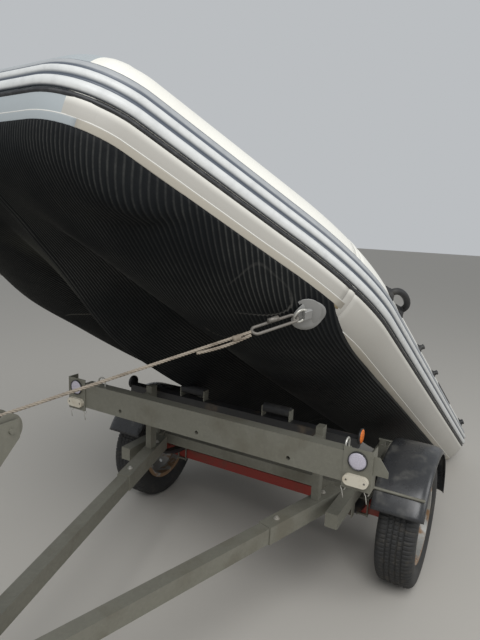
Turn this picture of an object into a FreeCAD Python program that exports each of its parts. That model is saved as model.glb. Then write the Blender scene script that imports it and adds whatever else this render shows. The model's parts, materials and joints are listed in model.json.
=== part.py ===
import FreeCAD, Part
import math
import os

# An inflatable boat with a ribbed trimaran air floor, lying bow-up on a galvanised single-axle
# road trailer. Millimetres, +Z up, the bow and the drawbar point along -Y, +X is the port side.
# Everything is built with the axle over the origin and moved at the end, so that the origin
# lies under the middle of the whole.

Vector = FreeCAD.Vector
os.makedirs("parts", exist_ok=True)

# Boat: tubes
TUBE_RADIUS = 190.0
TUBE_SPACING = 1440.0       # between the centre lines of the two side tubes
SIDE_LENGTH = 2427.0        # straight side, from the stern cone to the quarter seam
QUARTER_RUN = 699.0         # fore and aft reach of the slanting bow quarter
BOW_WIDTH = 610.0           # length of the crosswise bow section
BOW_RISE = 84.0
CONE_LENGTH = 120.0
CONE_END_RADIUS = 105.0
# Boat: rubbing strake, as angles round the tube, 0 facing outwards and -90 down
STRAKE_LOW = -11.0
STRAKE_HIGH = 14.0
STRAKE_THICKNESS = 6.0
STRAKE_RIB_HEIGHT = 7.0
STRAKE_RIBS = 3
# Boat: floor boards and transom
DECK_HEIGHT = -60.0         # above the centre plane of the tubes
BOARD_THICKNESS = 12.0
BOARD_GAP = 2.0             # between the boards and the tubes
BOARD_ENDS = (0.0, 0.33, 0.66, 0.98, 1.56)
TRANSOM_STATION = 300.0     # from the stern cone forward
TRANSOM_THICKNESS = 25.0
TRANSOM_TOP = 230.0
TRANSOM_BOTTOM = -215.0
MOTOR_PAD = (300.0, 220.0, 9.0)
SEAT_SIZE = (220.0, 12.0)   # fore and aft, thickness
SEAT_PLACES = (0.38, 0.78)   # shares of the straight side
SEAT_UNDERSIDE = 140.0
SEAT_BEARING = 35.0
# Boat: air floor. A row's place is 0 at the transom, 1 at the quarter seams and 2 at the bow
# section. Its edge is an angle round the tube, lobe and valley lie at shares of the tube's
# distance from the middle. Heights are above the centre plane of the side tubes, the rise
# above the underside of the boards.
FLOOR_COLUMNS = ("place", "edge", "lobe", "lobe_z", "valley", "valley_z", "keel_z", "rise")
FLOOR_ROWS = (
    (0.0, -60, 0.757, -255, 0.368, -185, -330, 0),
    (0.458, -52, 0.757, -268, 0.368, -190, -352, 0),
    (0.866, -42, 0.757, -270, 0.361, -195, -375, 0),
    (1.1, -34, 0.770, -262, 0.363, -190, -337, 0),
    (1.6, -41, 0.789, -212, 0.376, -163, -218, 0),
    (1.948, -32, 0.794, -148, 0.361, -140, -140, 70),
    (2.0, -30, 0.743, -45, 0.371, -45, -45, 79),
)
KEEL_FLAT = 22.0            # half width of the rounded keel bottom
KEEL_SWELL = 8.0
BOW_SWELL = 2.0             # the same ahead, where no keel stands proud
SKIRT_THICKNESS = 5.0
SKIRT_END = -112.0
SKIRT_STARTS = (-52.0, -30.0, -30.0, -30.0, -52.0)
# Boat: how it lies
BOAT_PITCH = 30.0
BOAT_YAW = -4.5             # bow towards starboard
STERN_X = -108.0
STERN_Y = 1503.0

# Trailer: wheels
TRACK = 1430.0
TYRE_RADIUS = 285.0
TYRE_WIDTH = 165.0
TYRE_CROWN = 12.0
TREAD_INSET = 30.0          # from the tyre's side to its flat tread
SHOULDER_INSET = 8.0
BEAD_INSET = 6.0
BEAD_RISE = 18.0
RIM_RADIUS = 168.0
RIM_WIDTH = 140.0
RIM_WALL = 5.0
RIM_FLANGE = 14.0
RIM_WELL = 8.0              # thickness below the bead seat
DISC_OFFSET = 20.0          # disc face from the wheel's middle plane, outwards
DISC_SHEET = 5.0
DISC_DROP = 38.0
DISC_BULGE = 15.0
DISC_CROWN_RADIUS = 120.0
DISC_FACE_RADIUS = 78.0
DISC_HOLES = 10
DISC_HOLE_RADIUS = 9.0
DISC_HOLE_CIRCLE = 137.0
HUB_RADIUS = 34.0
HUB_FLANGE_RADIUS = 66.0
HUB_FLANGE = 12.0
HUB_CAP = 36.0
HUB_CAP_TAPER = 4.0
HUB_CAP_EDGE = 14.0
WHEEL_GAP = 0.3
AXLE_SIZE = 50.0
AXLE_SHOULDER = 110.0       # from the wheel's middle to the end of the square axle
STUB_RADIUS = 22.0
# Trailer: frame
FRAME_RISE = 173.0          # centre of the rails above the axle
RAIL_INSET = 200.0          # from the wheel's middle to the rail's
SIDE_RAIL_SIZE = (50.0, 60.0)
SIDE_RAIL_FRONT = -500.0
SIDE_RAIL_REAR = 350.0
CROSS_MEMBER_Y = -215.0
CROSS_MEMBER_SIZE = (50.0, 50.0)
DRAWBAR_TUBE = (50.0, 60.0)
DRAWBAR_INSET = 50.7        # of its rear end from the side rail's middle
SLEEVE_WALL = 4.0
SLEEVE_FRONT = -715.0
SLEEVE_REAR = -290.0
DRAWBAR_OVERLAP = 120.0
SLIP = 0.3
# Trailer: coupling, and what stands on the drawbar, as distances behind the ball
BALL_Y = -2090.0
BALL_RADIUS = 25.5
BALL_RISE = 4.0             # above the middle of the frame
SOCKET_WALL = 13.0
SOCKET_MOUTH = 22.0         # below the ball's centre
COUPLING_WIDTH = 74.0
COUPLING_LENGTH = 190.0
COUPLING_SKIRT = 7.0        # below the ball's centre
COUPLING_TOP = 33.0
LEVER_HUB = (9.0, 16.0, 55.0)    # radius, height, behind the ball
LEVER_SIZE = (22.0, 135.0, 8.0)
LEVER_START = 40.0
NOSE_SIZE = 60.0
NOSE_START = 100.0
NOSE_END = 530.0
APEX_BEHIND_BALL = 259.0    # where the drawbar's centre lines would meet
FRONT_BAR_START = 60.0      # behind the apex
JACK_BEHIND_BALL = 240.0
POST_BEHIND_BALL = 450.0
# Trailer: keel rollers on the crossbar, which stands as high as the keel asks for
CROSSBAR_SIZE = 45.0
CROSSBAR_Y = -385.0
CROSSBAR_LENGTH = 1130.0
KEEL_ROLLER_X = 210.0
KEEL_ROLLER_RADIUS = 20.0
KEEL_ROLLER_LENGTH = 120.0
KEEL_ROLLER_PIN = 6.0
KEEL_ROLLER_RISE = 58.8     # its axis above the crossbar's
ROLLER_CHEEK = 5.0
ROLLER_CHEEK_RUN = 36.0
ROLLER_CHEEK_EDGE = 4.0     # above the pin
SOFT_GAP = 0.3
# Trailer: front beam and uprights
BEAM_FRONT = -676.0
BEAM_DEPTH = 50.0
BEAM_DROP = 23.0            # its underside below the crossbar's axis
BEAM_HEIGHT = 110.0
BEAM_LENGTH = 1210.0
BEAM_HOLES = (-393.0, 0.0, 393.0)
BEAM_HOLE_RADIUS = 8.0
BEAM_HOLE_RISE = 27.0
UPRIGHT_SIZE = (30.0, 40.0)
UPRIGHT_TOP = 52.0          # above the crossbar's axis
UPRIGHT_Y = -430.0
ARM_HEIGHT = 40.0
EYE_RADIUS = 19.0
EYE_WIRE = 3.5
EYE_LEG = 18.0
STARBOARD_EYE_X = -520.0
PORT_EYE_X = 596.0
LAMP_PLATE = (100.0, 145.0, 4.0)
LAMP_PLATE_PAST_BEAM = 89.0
LAMP_PLATE_DROP = 17.0      # below the beam's underside
REFLECTOR_RADIUS = 33.0
REFLECTOR_THICKNESS = 7.0
REFLECTOR_RISE = 87.0       # above the beam's underside
MARKER_SIZE = (86.0, 38.0, 16.0)
MARKER_RISE = 19.0
# Trailer: mudguards
GUARD_GAP = 60.0            # outside the tyre
GUARD_WIDTH = 214.0
GUARD_WALL = 3.0
GUARD_LIP = 28.0
GUARD_FRONT_ANGLE = 8.0     # from level, above the axle
GUARD_REAR_ANGLE = 2.0
STAY_RADIUS = 6.0
STAY_RISE = 32.0            # above the frame
STAY_FOOT = (28.0, 20.0)
STAY_INNER_END = 20.0       # past the rail's middle
STAY_OUTER_INSET = 8.0
# Trailer: leaf springs
SPRING_WIDTH = 40.0
SPRING_SPAN = 560.0
SPRING_EYE_DROP = 36.0      # below the rail
SPRING_EYE_RADIUS = 13.0
SPRING_PIN = 6.0
LEAF_THICKNESS = 7.0
LEAF_SHARES = (1.0, 0.72, 0.46)
HANGER_PLATE = 4.0
HANGER_REACH = 18.0
CLAMP_PLATE = 8.0
CLAMP_RUN = 76.0
CLAMP_BOLT = 4.0
CLAMP_BOLT_SPACING = 62.0
CLAMP_BOLT_END = 6.0
# Trailer: jockey wheel
JACK_X = -112.0
JACK_OUTER = 24.0
JACK_INNER = 20.0
JACK_TUBE_ENDS = (-128.0, 342.0)    # below and above the frame's middle
JACK_INNER_TOP = 162.0
JACK_CLAMP_HEIGHT = 52.0
JACK_CLAMP_WALL = 6.0
JACK_CLAMP_RUN = 56.0
JACK_WHEEL_RADIUS = 100.0
JACK_WHEEL_WIDTH = 60.0
JACK_WHEEL_EDGE = 6.0
JACK_TRAIL = 30.0
JACK_AXLE_RADIUS = 8.0
JACK_AXLE_END = 8.0
FORK_RISE = 112.0           # its crown above the wheel's axle
FORK_RUN = 48.0
FORK_PLATE = 5.0
FORK_GAP = 5.0
FORK_EYE = 16.0
JACK_CAP = 14.0
JACK_CAP_EDGE = 2.0
JACK_SHAFT = 8.0
JACK_SHAFT_TOP = 36.0       # above the tube
JACK_ARM = 7.0
JACK_ARM_LENGTH = 116.0
JACK_GRIP = 10.0
JACK_GRIP_LENGTH = 84.0
# Trailer: winch
WINCH_RISE = 597.0          # above the middle of the frame
WINCH_BEHIND_POST = 115.0
POST_SIZE = 60.0
POST_DROP = 20.0            # its top below the winch's axis
DRUM_RADIUS = 22.0
DRUM_WIDTH = 42.0
CHEEK_RADIUS = 40.0
CHEEK_THICKNESS = 3.0
WINCH_PLATE = 4.0
WINCH_PLATE_FOOT = 110.0
WINCH_PLATE_NOSE = 24.0     # round the shaft
SHAFT_RADIUS = 7.0
SHAFT_END = 6.0
CRANK_OFFSET = 34.0         # outside the post
CRANK_LENGTH = 190.0
CRANK_ARM = 8.0
CRANK_BOSS = 11.0
CRANK_GRIP = (12.0, 100.0)
CRANK_ANGLE = 53.0          # its rest, above straight ahead
# Boat: tow rings, hook and rope
RING_ALONG = 0.92           # share of the port bow tube, from the bow section aft
RING_ANGLE = -54.0
RING_PATCH_RADIUS = 48.0
PATCH_THICKNESS = 3.0
RING_WIRE = 4.0
RING_RADIUS = 22.0
RING_REST = 2.0             # between the ring and its patch
WEBBING_WIDTH = 30.0
WEBBING_RUN = 26.0
WEBBING_RISE = 18.0
HOOK_LENGTH = 150.0
HOOK_WIRE = 4.5
HOOK_WIDTH = 30.0
ROPE_RADIUS = 5.0
ROPE_X = -12.0              # where it leaves the drum
# Boat: bow roller and handles
BOW_ROLLER_RADIUS = 16.0
BOW_ROLLER_WIDTH = 44.0
BOW_ROLLER_PIN = 5.0
BOW_ROLLER_DROP = 22.0      # its axis below the top of the cheeks
BOW_CHEEK = (64.0, 7.0, 62.0)
BOW_BASE = (92.0, 7.0)      # width, thickness
BOW_SINK = 12.0             # below the crown of the tube, where the foot is cut to it
BOW_BOSS = (21.0, 10.0)     # radius, length
HANDLE_FROM_SEAM = 340.0
HANDLE_ANGLE = 34.0
HANDLE_LENGTH = 170.0
HANDLE_RISE = 52.0
HANDLE_LEAN = 26.0
HANDLE_GRIP = 11.0
HANDLE_FOOT = (30.0, 10.0)
HANDLE_SINK = 4.0
# Trailer: rear lamps
REAR_LAMP = (150.0, 48.0, 80.0)
REAR_LAMP_DROP = 20.0
REAR_LAMP_INSET = 50.0
REAR_BRACKET = 5.0
REAR_BRACKET_WIDTH = 210.0

X_AXIS = Vector(1, 0, 0)
Y_AXIS = Vector(0, 1, 0)
Z_AXIS = Vector(0, 0, 1)
BIG = 3000.0                # reach of cutting blocks, past everything


def box(x0, x1, y0, y1, z0, z1):
    return Part.makeBox(x1 - x0, y1 - y0, z1 - z0, Vector(x0, y0, z0))


def centred_box(x, width, y, run, z, height):
    return box(x - width / 2, x + width / 2, y - run / 2, y + run / 2, z - height / 2, z + height / 2)


def rod(radius, start, end):
    return Part.makeCylinder(radius, (end - start).Length, start, end - start)


def cross_rod(radius, centre, width):
    """Rod along X, centred on a point."""
    return rod(radius, centre - X_AXIS * (width / 2), centre + X_AXIS * (width / 2))


def ring(outer, inner, start, end):
    return rod(outer, start, end).cut(rod(inner, start, end))


def face_of(points):
    return Part.Face(Part.makePolygon([Vector(*p) for p in points] + [Vector(*points[0])]))


def revolve(profile, axis_point, axis, angle=360.0):
    """Closed (x, z) profile at y 0, turned about an axis."""
    return face_of([(x, 0.0, z) for x, z in profile]).revolve(axis_point, axis, angle)


def half_space(point, normal):
    """Block that fills the side of the plane to which the normal points."""
    block = Part.makeBox(2 * BIG, 2 * BIG, BIG, Vector(-BIG, -BIG, 0))
    block.Placement = FreeCAD.Placement(point, FreeCAD.Rotation(Z_AXIS, normal))
    return block


def mirrored(shape):
    return shape.mirror(Vector(0, 0, 0), X_AXIS)


def both(shape):
    """The port shape and its starboard twin."""
    return [shape, mirrored(shape)]


def fuse(shapes):
    result = shapes[0]
    for shape in shapes[1:]:
        result = result.fuse(shape)
    return result.removeSplitter()


def largest(shape):
    return max(shape.Solids, key=lambda solid: solid.Volume)


nodes = {}


def add(name, *shapes):
    nodes[name] = Part.makeCompound(list(shapes)) if len(shapes) > 1 else shapes[0]


# Where the boat lies: its own frame has x to port, y aft and z up, with the origin between the
# ends of the side tubes. The lower edges of these ends rest on the ground.
pitch = math.radians(BOAT_PITCH)
boat_place = FreeCAD.Placement(
    Vector(STERN_X, STERN_Y, TUBE_RADIUS * math.cos(pitch)),
    FreeCAD.Rotation(Z_AXIS, BOAT_YAW).multiply(FreeCAD.Rotation(X_AXIS, -BOAT_PITCH)),
)


def add_boat(name, *shapes):
    placed = []
    for shape in shapes:
        copy = shape.copy()
        copy.Placement = boat_place.multiply(copy.Placement)
        placed.append(copy)
    add(name, *placed)


# Tubes: five cylinders joined by mitred seams
half_spacing = TUBE_SPACING / 2
half_bow = BOW_WIDTH / 2
bow_station = SIDE_LENGTH + QUARTER_RUN
quarter_slant = math.atan2(half_spacing - half_bow, QUARTER_RUN)
centre_line = [
    Vector(-half_spacing, 0, 0),
    Vector(-half_spacing, -SIDE_LENGTH, 0),
    Vector(-half_bow, -bow_station, BOW_RISE),
    Vector(half_bow, -bow_station, BOW_RISE),
    Vector(half_spacing, -SIDE_LENGTH, 0),
    Vector(half_spacing, 0, 0),
]
segment_names = ["starboard_side_tube", "starboard_bow_tube", "bow_tube", "port_bow_tube", "port_side_tube"]


def direction(i):
    return (centre_line[i + 1] - centre_line[i]).normalize()


def outward(i):
    """Level direction out of the boat, square to segment i."""
    d = direction(i)
    return Vector(d.y, -d.x, 0).normalize()


def mitred(shape, i):
    """Trims a shape that runs along segment i at the seams with its neighbours."""
    if i > 0:
        shape = shape.cut(half_space(centre_line[i], (direction(i - 1) + direction(i)) * -1))
    if i < len(centre_line) - 2:
        shape = shape.cut(half_space(centre_line[i + 1], direction(i) + direction(i + 1)))
    return shape


def run_along(i, make):
    """Solid along segment i, longer than it at each seam, then mitred."""
    reach = 2 * TUBE_RADIUS
    start = centre_line[i] - direction(i) * (reach if i > 0 else 0)
    end = centre_line[i + 1] + direction(i) * (reach if i < len(centre_line) - 2 else 0)
    return mitred(make(i, start, end), i)


def round_section(i, angle, radius, at):
    """Point round segment i at an angle from straight out, positive upwards."""
    up = (Z_AXIS - direction(i) * Z_AXIS.dot(direction(i))).normalize()
    a = math.radians(angle)
    return at + outward(i) * (radius * math.cos(a)) + up * (radius * math.sin(a))


def tube_solid(i, start, end):
    return rod(TUBE_RADIUS, start, end)


tubes = [run_along(i, tube_solid) for i in range(len(segment_names))]
for i, end in ((0, centre_line[0]), (len(tubes) - 1, centre_line[-1])):
    tubes[i] = tubes[i].fuse(Part.makeCone(TUBE_RADIUS, CONE_END_RADIUS, CONE_LENGTH, end, Y_AXIS))
for name, tube in zip(segment_names, tubes):
    add_boat(name, tube)
all_tubes = fuse([t.copy() for t in tubes])


def strake_solid(i, start, end):
    """Band with rounded ribs, as an outline square to the tube, pulled along it."""
    step = (STRAKE_HIGH - STRAKE_LOW) / STRAKE_RIBS
    base = TUBE_RADIUS + STRAKE_THICKNESS
    crest = base + STRAKE_RIB_HEIGHT
    at = [round_section(i, STRAKE_LOW + k * step, base, start) for k in range(STRAKE_RIBS + 1)]
    top = [round_section(i, STRAKE_LOW + (k + 0.5) * step, crest, start) for k in range(STRAKE_RIBS)]
    foot_low = round_section(i, STRAKE_LOW, TUBE_RADIUS, start)
    foot_high = round_section(i, STRAKE_HIGH, TUBE_RADIUS, start)
    foot_mid = round_section(i, (STRAKE_LOW + STRAKE_HIGH) / 2, TUBE_RADIUS, start)
    edges = [Part.Arc(foot_low, foot_mid, foot_high).toShape(), Part.makeLine(foot_high, at[-1])]
    for k in reversed(range(STRAKE_RIBS)):
        edges.append(Part.Arc(at[k + 1], top[k], at[k]).toShape())
    edges.append(Part.makeLine(at[0], foot_low))
    return Part.Face(Part.Wire(edges)).extrude(end - start)


add_boat("rubbing_strake", fuse([run_along(i, strake_solid) for i in range(len(segment_names))]))

# Air floor: an outer lobe under each side tube and a keel between, lofted from the transom to
# the bow tube. The edge lies on the tubes, which are cut out of the loft.
transom_aft = -TRANSOM_STATION
transom_fore = transom_aft - TRANSOM_THICKNESS


def station(place):
    """Distance forward of the tubes' ends at a place along the floor."""
    if place < 1:
        return -transom_fore + place * (SIDE_LENGTH + transom_fore)
    return SIDE_LENGTH + (place - 1) * QUARTER_RUN


def centre_x(place):
    """The port centre line's distance from the middle at a place along the floor."""
    return half_spacing + min(max(place - 1, 0), 1) * (half_bow - half_spacing)


def floor_section(row):
    s = dict(zip(FLOOR_COLUMNS, row))
    y = -station(s["place"])
    out = centre_x(s["place"])
    reach = TUBE_RADIUS * math.cos(math.radians(s["edge"]))
    edge_z = TUBE_RADIUS * math.sin(math.radians(s["edge"])) + max(s["place"] - 1, 0) * BOW_RISE
    if s["place"] < 1:
        edge_x = out + reach
    elif s["place"] < 2:
        edge_x = out + reach / math.cos(quarter_slant)
    else:
        edge_x = out + reach * math.tan((math.pi / 2 - quarter_slant) / 2)
        y -= reach
    lobe_x, valley_x = out * s["lobe"], out * s["valley"]
    top_z = DECK_HEIGHT - BOARD_THICKNESS + s["rise"]
    keel_side = s["keel_z"] + (KEEL_SWELL if s["keel_z"] < s["valley_z"] else BOW_SWELL)

    def at(x, z):
        return Vector(x, y, z)

    halves = []
    for side in (1, -1):
        edge, valley = at(side * edge_x, edge_z), at(side * valley_x, s["valley_z"])
        lobe = Part.Arc(edge, at(side * lobe_x, s["lobe_z"]), valley).toShape()
        halves.append([lobe, Part.makeLine(valley, at(side * KEEL_FLAT, keel_side))])
    keel = Part.Arc(at(KEEL_FLAT, keel_side), at(0, s["keel_z"]), at(-KEEL_FLAT, keel_side)).toShape()
    starboard_side = Part.makeLine(at(-edge_x, edge_z), at(-edge_x, top_z))
    top = Part.makeLine(at(-edge_x, top_z), at(edge_x, top_z))
    port_side = Part.makeLine(at(edge_x, top_z), at(edge_x, edge_z))
    ordered = halves[0] + [keel] + list(reversed(halves[1])) + [starboard_side, top, port_side]
    return Part.Wire(Part.__sortEdges__(ordered))


def skirt_solid(i, start, end):
    """Fabric of the floor where it laps up the outside of the tube."""
    angles = (SKIRT_END, (SKIRT_END + SKIRT_STARTS[i]) / 2, SKIRT_STARTS[i])
    inner = [round_section(i, a, TUBE_RADIUS, start) for a in angles]
    outer = [round_section(i, a, TUBE_RADIUS + SKIRT_THICKNESS, start) for a in angles]
    edges = [Part.Arc(*inner).toShape(), Part.makeLine(inner[2], outer[2]),
             Part.Arc(*reversed(outer)).toShape(), Part.makeLine(outer[0], inner[0])]
    return Part.Face(Part.Wire(edges)).extrude(end - start)


floor = Part.makeLoft([floor_section(row) for row in FLOOR_ROWS], True, True)
aft_of_floor = half_space(Vector(0, transom_fore, 0), Y_AXIS)
skirts = [run_along(i, skirt_solid).cut(aft_of_floor) for i in range(len(segment_names))]
floor = largest(fuse([floor] + skirts).cut(all_tubes))
add_boat("air_floor", floor)

# Floor boards between the tubes, the last one tapered into the bow
def deck_reach(place, slant):
    """Half width of the boards, where the tubes' inner faces slant by an angle."""
    drop = DECK_HEIGHT - max(place - 1, 0) * BOW_RISE
    chord = math.sqrt(TUBE_RADIUS ** 2 - drop ** 2) / math.cos(slant)
    return centre_x(place) - chord - BOARD_GAP


boards = []
for aft_place, fore_place in zip(BOARD_ENDS[:-1], BOARD_ENDS[1:]):
    slant = quarter_slant if fore_place > 1 else 0.0
    aft_y, fore_y = -station(aft_place) - SLIP, -station(fore_place)
    aft_half, fore_half = deck_reach(aft_place, slant), deck_reach(fore_place, slant)
    underside = DECK_HEIGHT - BOARD_THICKNESS
    outline = [(-aft_half, aft_y, underside), (aft_half, aft_y, underside),
               (fore_half, fore_y, underside), (-fore_half, fore_y, underside)]
    boards.append(face_of(outline).extrude(Z_AXIS * BOARD_THICKNESS))
add_boat("floor_boards", *boards)

# Transom board between the tubes, with a motor pad on each face
transom = box(-half_spacing, half_spacing, transom_fore, transom_aft, TRANSOM_BOTTOM, TRANSOM_TOP)
add_boat("transom", largest(transom.cut(all_tubes)))
pad_w, pad_h, pad_t = MOTOR_PAD
motor_pads = []
for y in (transom_aft, transom_fore - pad_t):
    motor_pads.append(box(-pad_w / 2, pad_w / 2, y, y + pad_t, TRANSOM_TOP - pad_h, TRANSOM_TOP))
add_boat("motor_pads", *motor_pads)

# Bench seats, each seated on the shoulders of the side tubes
seat_run, seat_t = SEAT_SIZE
shoulder = half_spacing - math.sqrt(TUBE_RADIUS ** 2 - SEAT_UNDERSIDE ** 2)
half_seat = shoulder + SEAT_BEARING
for label, seat_place in zip(("aft", "fore"), SEAT_PLACES):
    seat = centred_box(0, 2 * half_seat, -seat_place * SIDE_LENGTH, seat_run, SEAT_UNDERSIDE + seat_t / 2, seat_t)
    add_boat(label + "_seat", seat.cut(all_tubes))

# Wheels: a tyre on a rim with a dished and pierced disc, and a hub
half_track = TRACK / 2
wheel_centre = Vector(half_track, 0, TYRE_RADIUS)


def wheel_profile(points):
    """(distance from the middle plane, radius) points turned about the wheel's axle."""
    return revolve([(half_track + x, TYRE_RADIUS + r) for x, r in points], wheel_centre, X_AXIS)


half_tyre = TYRE_WIDTH / 2
half_rim = RIM_WIDTH / 2
bead = half_rim - RIM_WALL - WHEEL_GAP
flange_radius = RIM_RADIUS + RIM_FLANGE
outer_half = [
    (bead, RIM_RADIUS + WHEEL_GAP), (bead, flange_radius + WHEEL_GAP),
    (half_tyre - BEAD_INSET, flange_radius + BEAD_RISE), (half_tyre, (RIM_RADIUS + TYRE_RADIUS) / 2),
    (half_tyre - SHOULDER_INSET, TYRE_RADIUS - TYRE_CROWN), (half_tyre - TREAD_INSET, TYRE_RADIUS),
]
tyre = wheel_profile(outer_half + [(-x, r) for x, r in reversed(outer_half)])
well_radius = RIM_RADIUS - RIM_WELL
half_channel = [
    (half_rim, well_radius), (half_rim, flange_radius), (half_rim - RIM_WALL, flange_radius),
    (half_rim - RIM_WALL, RIM_RADIUS),
]
rim = wheel_profile(half_channel + [(-x, r) for x, r in reversed(half_channel)])
disc_line = [
    (DISC_OFFSET - DISC_DROP, well_radius), (DISC_OFFSET, DISC_CROWN_RADIUS),
    (DISC_OFFSET + DISC_BULGE - DISC_SHEET, DISC_FACE_RADIUS), (DISC_OFFSET - DISC_SHEET, HUB_FLANGE_RADIUS),
    (DISC_OFFSET - DISC_SHEET, HUB_RADIUS + WHEEL_GAP),
]
disc = wheel_profile(disc_line + [(x + DISC_SHEET, r) for x, r in reversed(disc_line)])
for k in range(DISC_HOLES):
    turn = 2 * math.pi * k / DISC_HOLES
    hole_centre = wheel_centre + Vector(0, math.cos(turn), math.sin(turn)) * DISC_HOLE_CIRCLE
    disc = disc.cut(cross_rod(DISC_HOLE_RADIUS, hole_centre, RIM_WIDTH))
rim = rim.fuse(disc).removeSplitter()
hub_inner = DISC_OFFSET - DISC_SHEET - HUB_FLANGE
hub = wheel_profile([
    (hub_inner, 0), (hub_inner, HUB_FLANGE_RADIUS), (DISC_OFFSET - DISC_SHEET, HUB_FLANGE_RADIUS),
    (DISC_OFFSET - DISC_SHEET, HUB_RADIUS), (DISC_OFFSET + HUB_CAP - HUB_CAP_TAPER, HUB_RADIUS - HUB_CAP_TAPER),
    (DISC_OFFSET + HUB_CAP, HUB_RADIUS - HUB_CAP_EDGE), (DISC_OFFSET + HUB_CAP, 0),
])
for name, solid in (("tyre", tyre), ("rim", rim), ("hub", hub)):
    add("port_" + name, solid)
    add("starboard_" + name, mirrored(solid))
axle_bar_length = TRACK - 2 * AXLE_SHOULDER
stub_length = TRACK + 2 * (hub_inner - WHEEL_GAP)
axle_middle = Vector(0, 0, TYRE_RADIUS)
axle_bar = centred_box(0, axle_bar_length, 0, AXLE_SIZE, TYRE_RADIUS, AXLE_SIZE)
add("axle", fuse([axle_bar, cross_rod(STUB_RADIUS, axle_middle, stub_length)]))

# Frame: side rails and a cross member, the sleeves of the drawbar, and its front tubes
frame_z = TYRE_RADIUS + FRAME_RISE
side_rail_x = half_track - RAIL_INSET
rail_w, rail_h = SIDE_RAIL_SIZE
frame_top = frame_z + rail_h / 2
frame_bottom = frame_z - rail_h / 2
inner_face = side_rail_x - rail_w / 2
side_rail = box(inner_face, inner_face + rail_w, SIDE_RAIL_FRONT, SIDE_RAIL_REAR, frame_bottom, frame_top)
add("side_rails", *both(side_rail))
member_run, member_h = CROSS_MEMBER_SIZE
add("cross_member", centred_box(0, 2 * inner_face, CROSS_MEMBER_Y, member_run, frame_z, member_h))
apex_y = BALL_Y + APEX_BEHIND_BALL
drawbar_slope = (side_rail_x - DRAWBAR_INSET) / (SLEEVE_REAR - apex_y)


def drawbar_point(y):
    return Vector((y - apex_y) * drawbar_slope, y, frame_z)


def drawbar_box(width, height, y_front, y_rear):
    """Rectangular bar along the port drawbar line."""
    start, end = drawbar_point(y_front), drawbar_point(y_rear)
    bar = Part.makeBox(width, (end - start).Length, height, Vector(-width / 2, 0, -height / 2))
    bar.Placement = FreeCAD.Placement(start, FreeCAD.Rotation(Y_AXIS, end - start))
    return bar


tube_w, tube_h = DRAWBAR_TUBE
sleeve_in_w, sleeve_in_h = tube_w + 2 * SLIP, tube_h + 2 * SLIP
sleeve_w, sleeve_h = sleeve_in_w + 2 * SLEEVE_WALL, sleeve_in_h + 2 * SLEEVE_WALL
tube_rear = SLEEVE_FRONT + DRAWBAR_OVERLAP
sleeve = drawbar_box(sleeve_w, sleeve_h, SLEEVE_FRONT, SLEEVE_REAR)
sleeve = sleeve.cut(drawbar_box(sleeve_in_w, sleeve_in_h, SLEEVE_FRONT - sleeve_w, tube_rear + SLIP))
sleeve = sleeve.cut(half_space(Vector(inner_face, 0, 0), X_AXIS))
sleeve = sleeve.cut(half_space(Vector(0, CROSS_MEMBER_Y - member_run / 2, 0), Y_AXIS))
nose_y0, nose_y1 = BALL_Y + NOSE_START, BALL_Y + NOSE_END
nose = centred_box(0, NOSE_SIZE, (nose_y0 + nose_y1) / 2, nose_y1 - nose_y0, frame_z, NOSE_SIZE)
front_bar = drawbar_box(tube_w, tube_h, apex_y + FRONT_BAR_START, tube_rear)
front_bar = front_bar.cut(nose).cut(half_space(Vector(0, 0, 0), -X_AXIS))
add("drawbar_sleeves", *both(sleeve))
add("drawbar_tubes", *both(largest(front_bar)))
add("drawbar_nose", nose)

# Keel rollers just under the keel, with their brackets, and the crossbar that carries them
half_roller = KEEL_ROLLER_LENGTH / 2
roller_x0, roller_x1 = -KEEL_ROLLER_X - half_roller, -KEEL_ROLLER_X + half_roller
above_roller = face_of([(roller_x0, CROSSBAR_Y, 0), (roller_x1, CROSSBAR_Y, 0),
                        (roller_x1, CROSSBAR_Y, BIG), (roller_x0, CROSSBAR_Y, BIG)])
keel_height = above_roller.common(nodes["air_floor"]).optimalBoundingBox(False).ZMin
roller_z = keel_height - (KEEL_ROLLER_RADIUS + SOFT_GAP) / math.cos(pitch)
crossbar_z = roller_z - KEEL_ROLLER_RISE
crossbar_top = crossbar_z + CROSSBAR_SIZE / 2
crossbar_rear = CROSSBAR_Y - CROSSBAR_SIZE / 2
add("crossbar", centred_box(0, CROSSBAR_LENGTH, CROSSBAR_Y, CROSSBAR_SIZE, crossbar_z, CROSSBAR_SIZE))
roller_centre = Vector(KEEL_ROLLER_X, CROSSBAR_Y, roller_z)
keel_roller = cross_rod(KEEL_ROLLER_RADIUS, roller_centre, KEEL_ROLLER_LENGTH)
keel_roller = keel_roller.cut(cross_rod(KEEL_ROLLER_PIN, roller_centre, KEEL_ROLLER_LENGTH))
cheek_top = roller_z + KEEL_ROLLER_PIN + ROLLER_CHEEK_EDGE
cheek_x = half_roller + SLIP + ROLLER_CHEEK / 2
roller_bracket = [cross_rod(KEEL_ROLLER_PIN, roller_centre, 2 * cheek_x + ROLLER_CHEEK)]
for x in (KEEL_ROLLER_X - cheek_x, KEEL_ROLLER_X + cheek_x):
    roller_bracket.append(centred_box(x, ROLLER_CHEEK, CROSSBAR_Y, ROLLER_CHEEK_RUN,
                                      (crossbar_top + cheek_top) / 2, cheek_top - crossbar_top))
add("keel_rollers", *both(keel_roller))
add("roller_brackets", *both(fuse(roller_bracket)))

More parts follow.
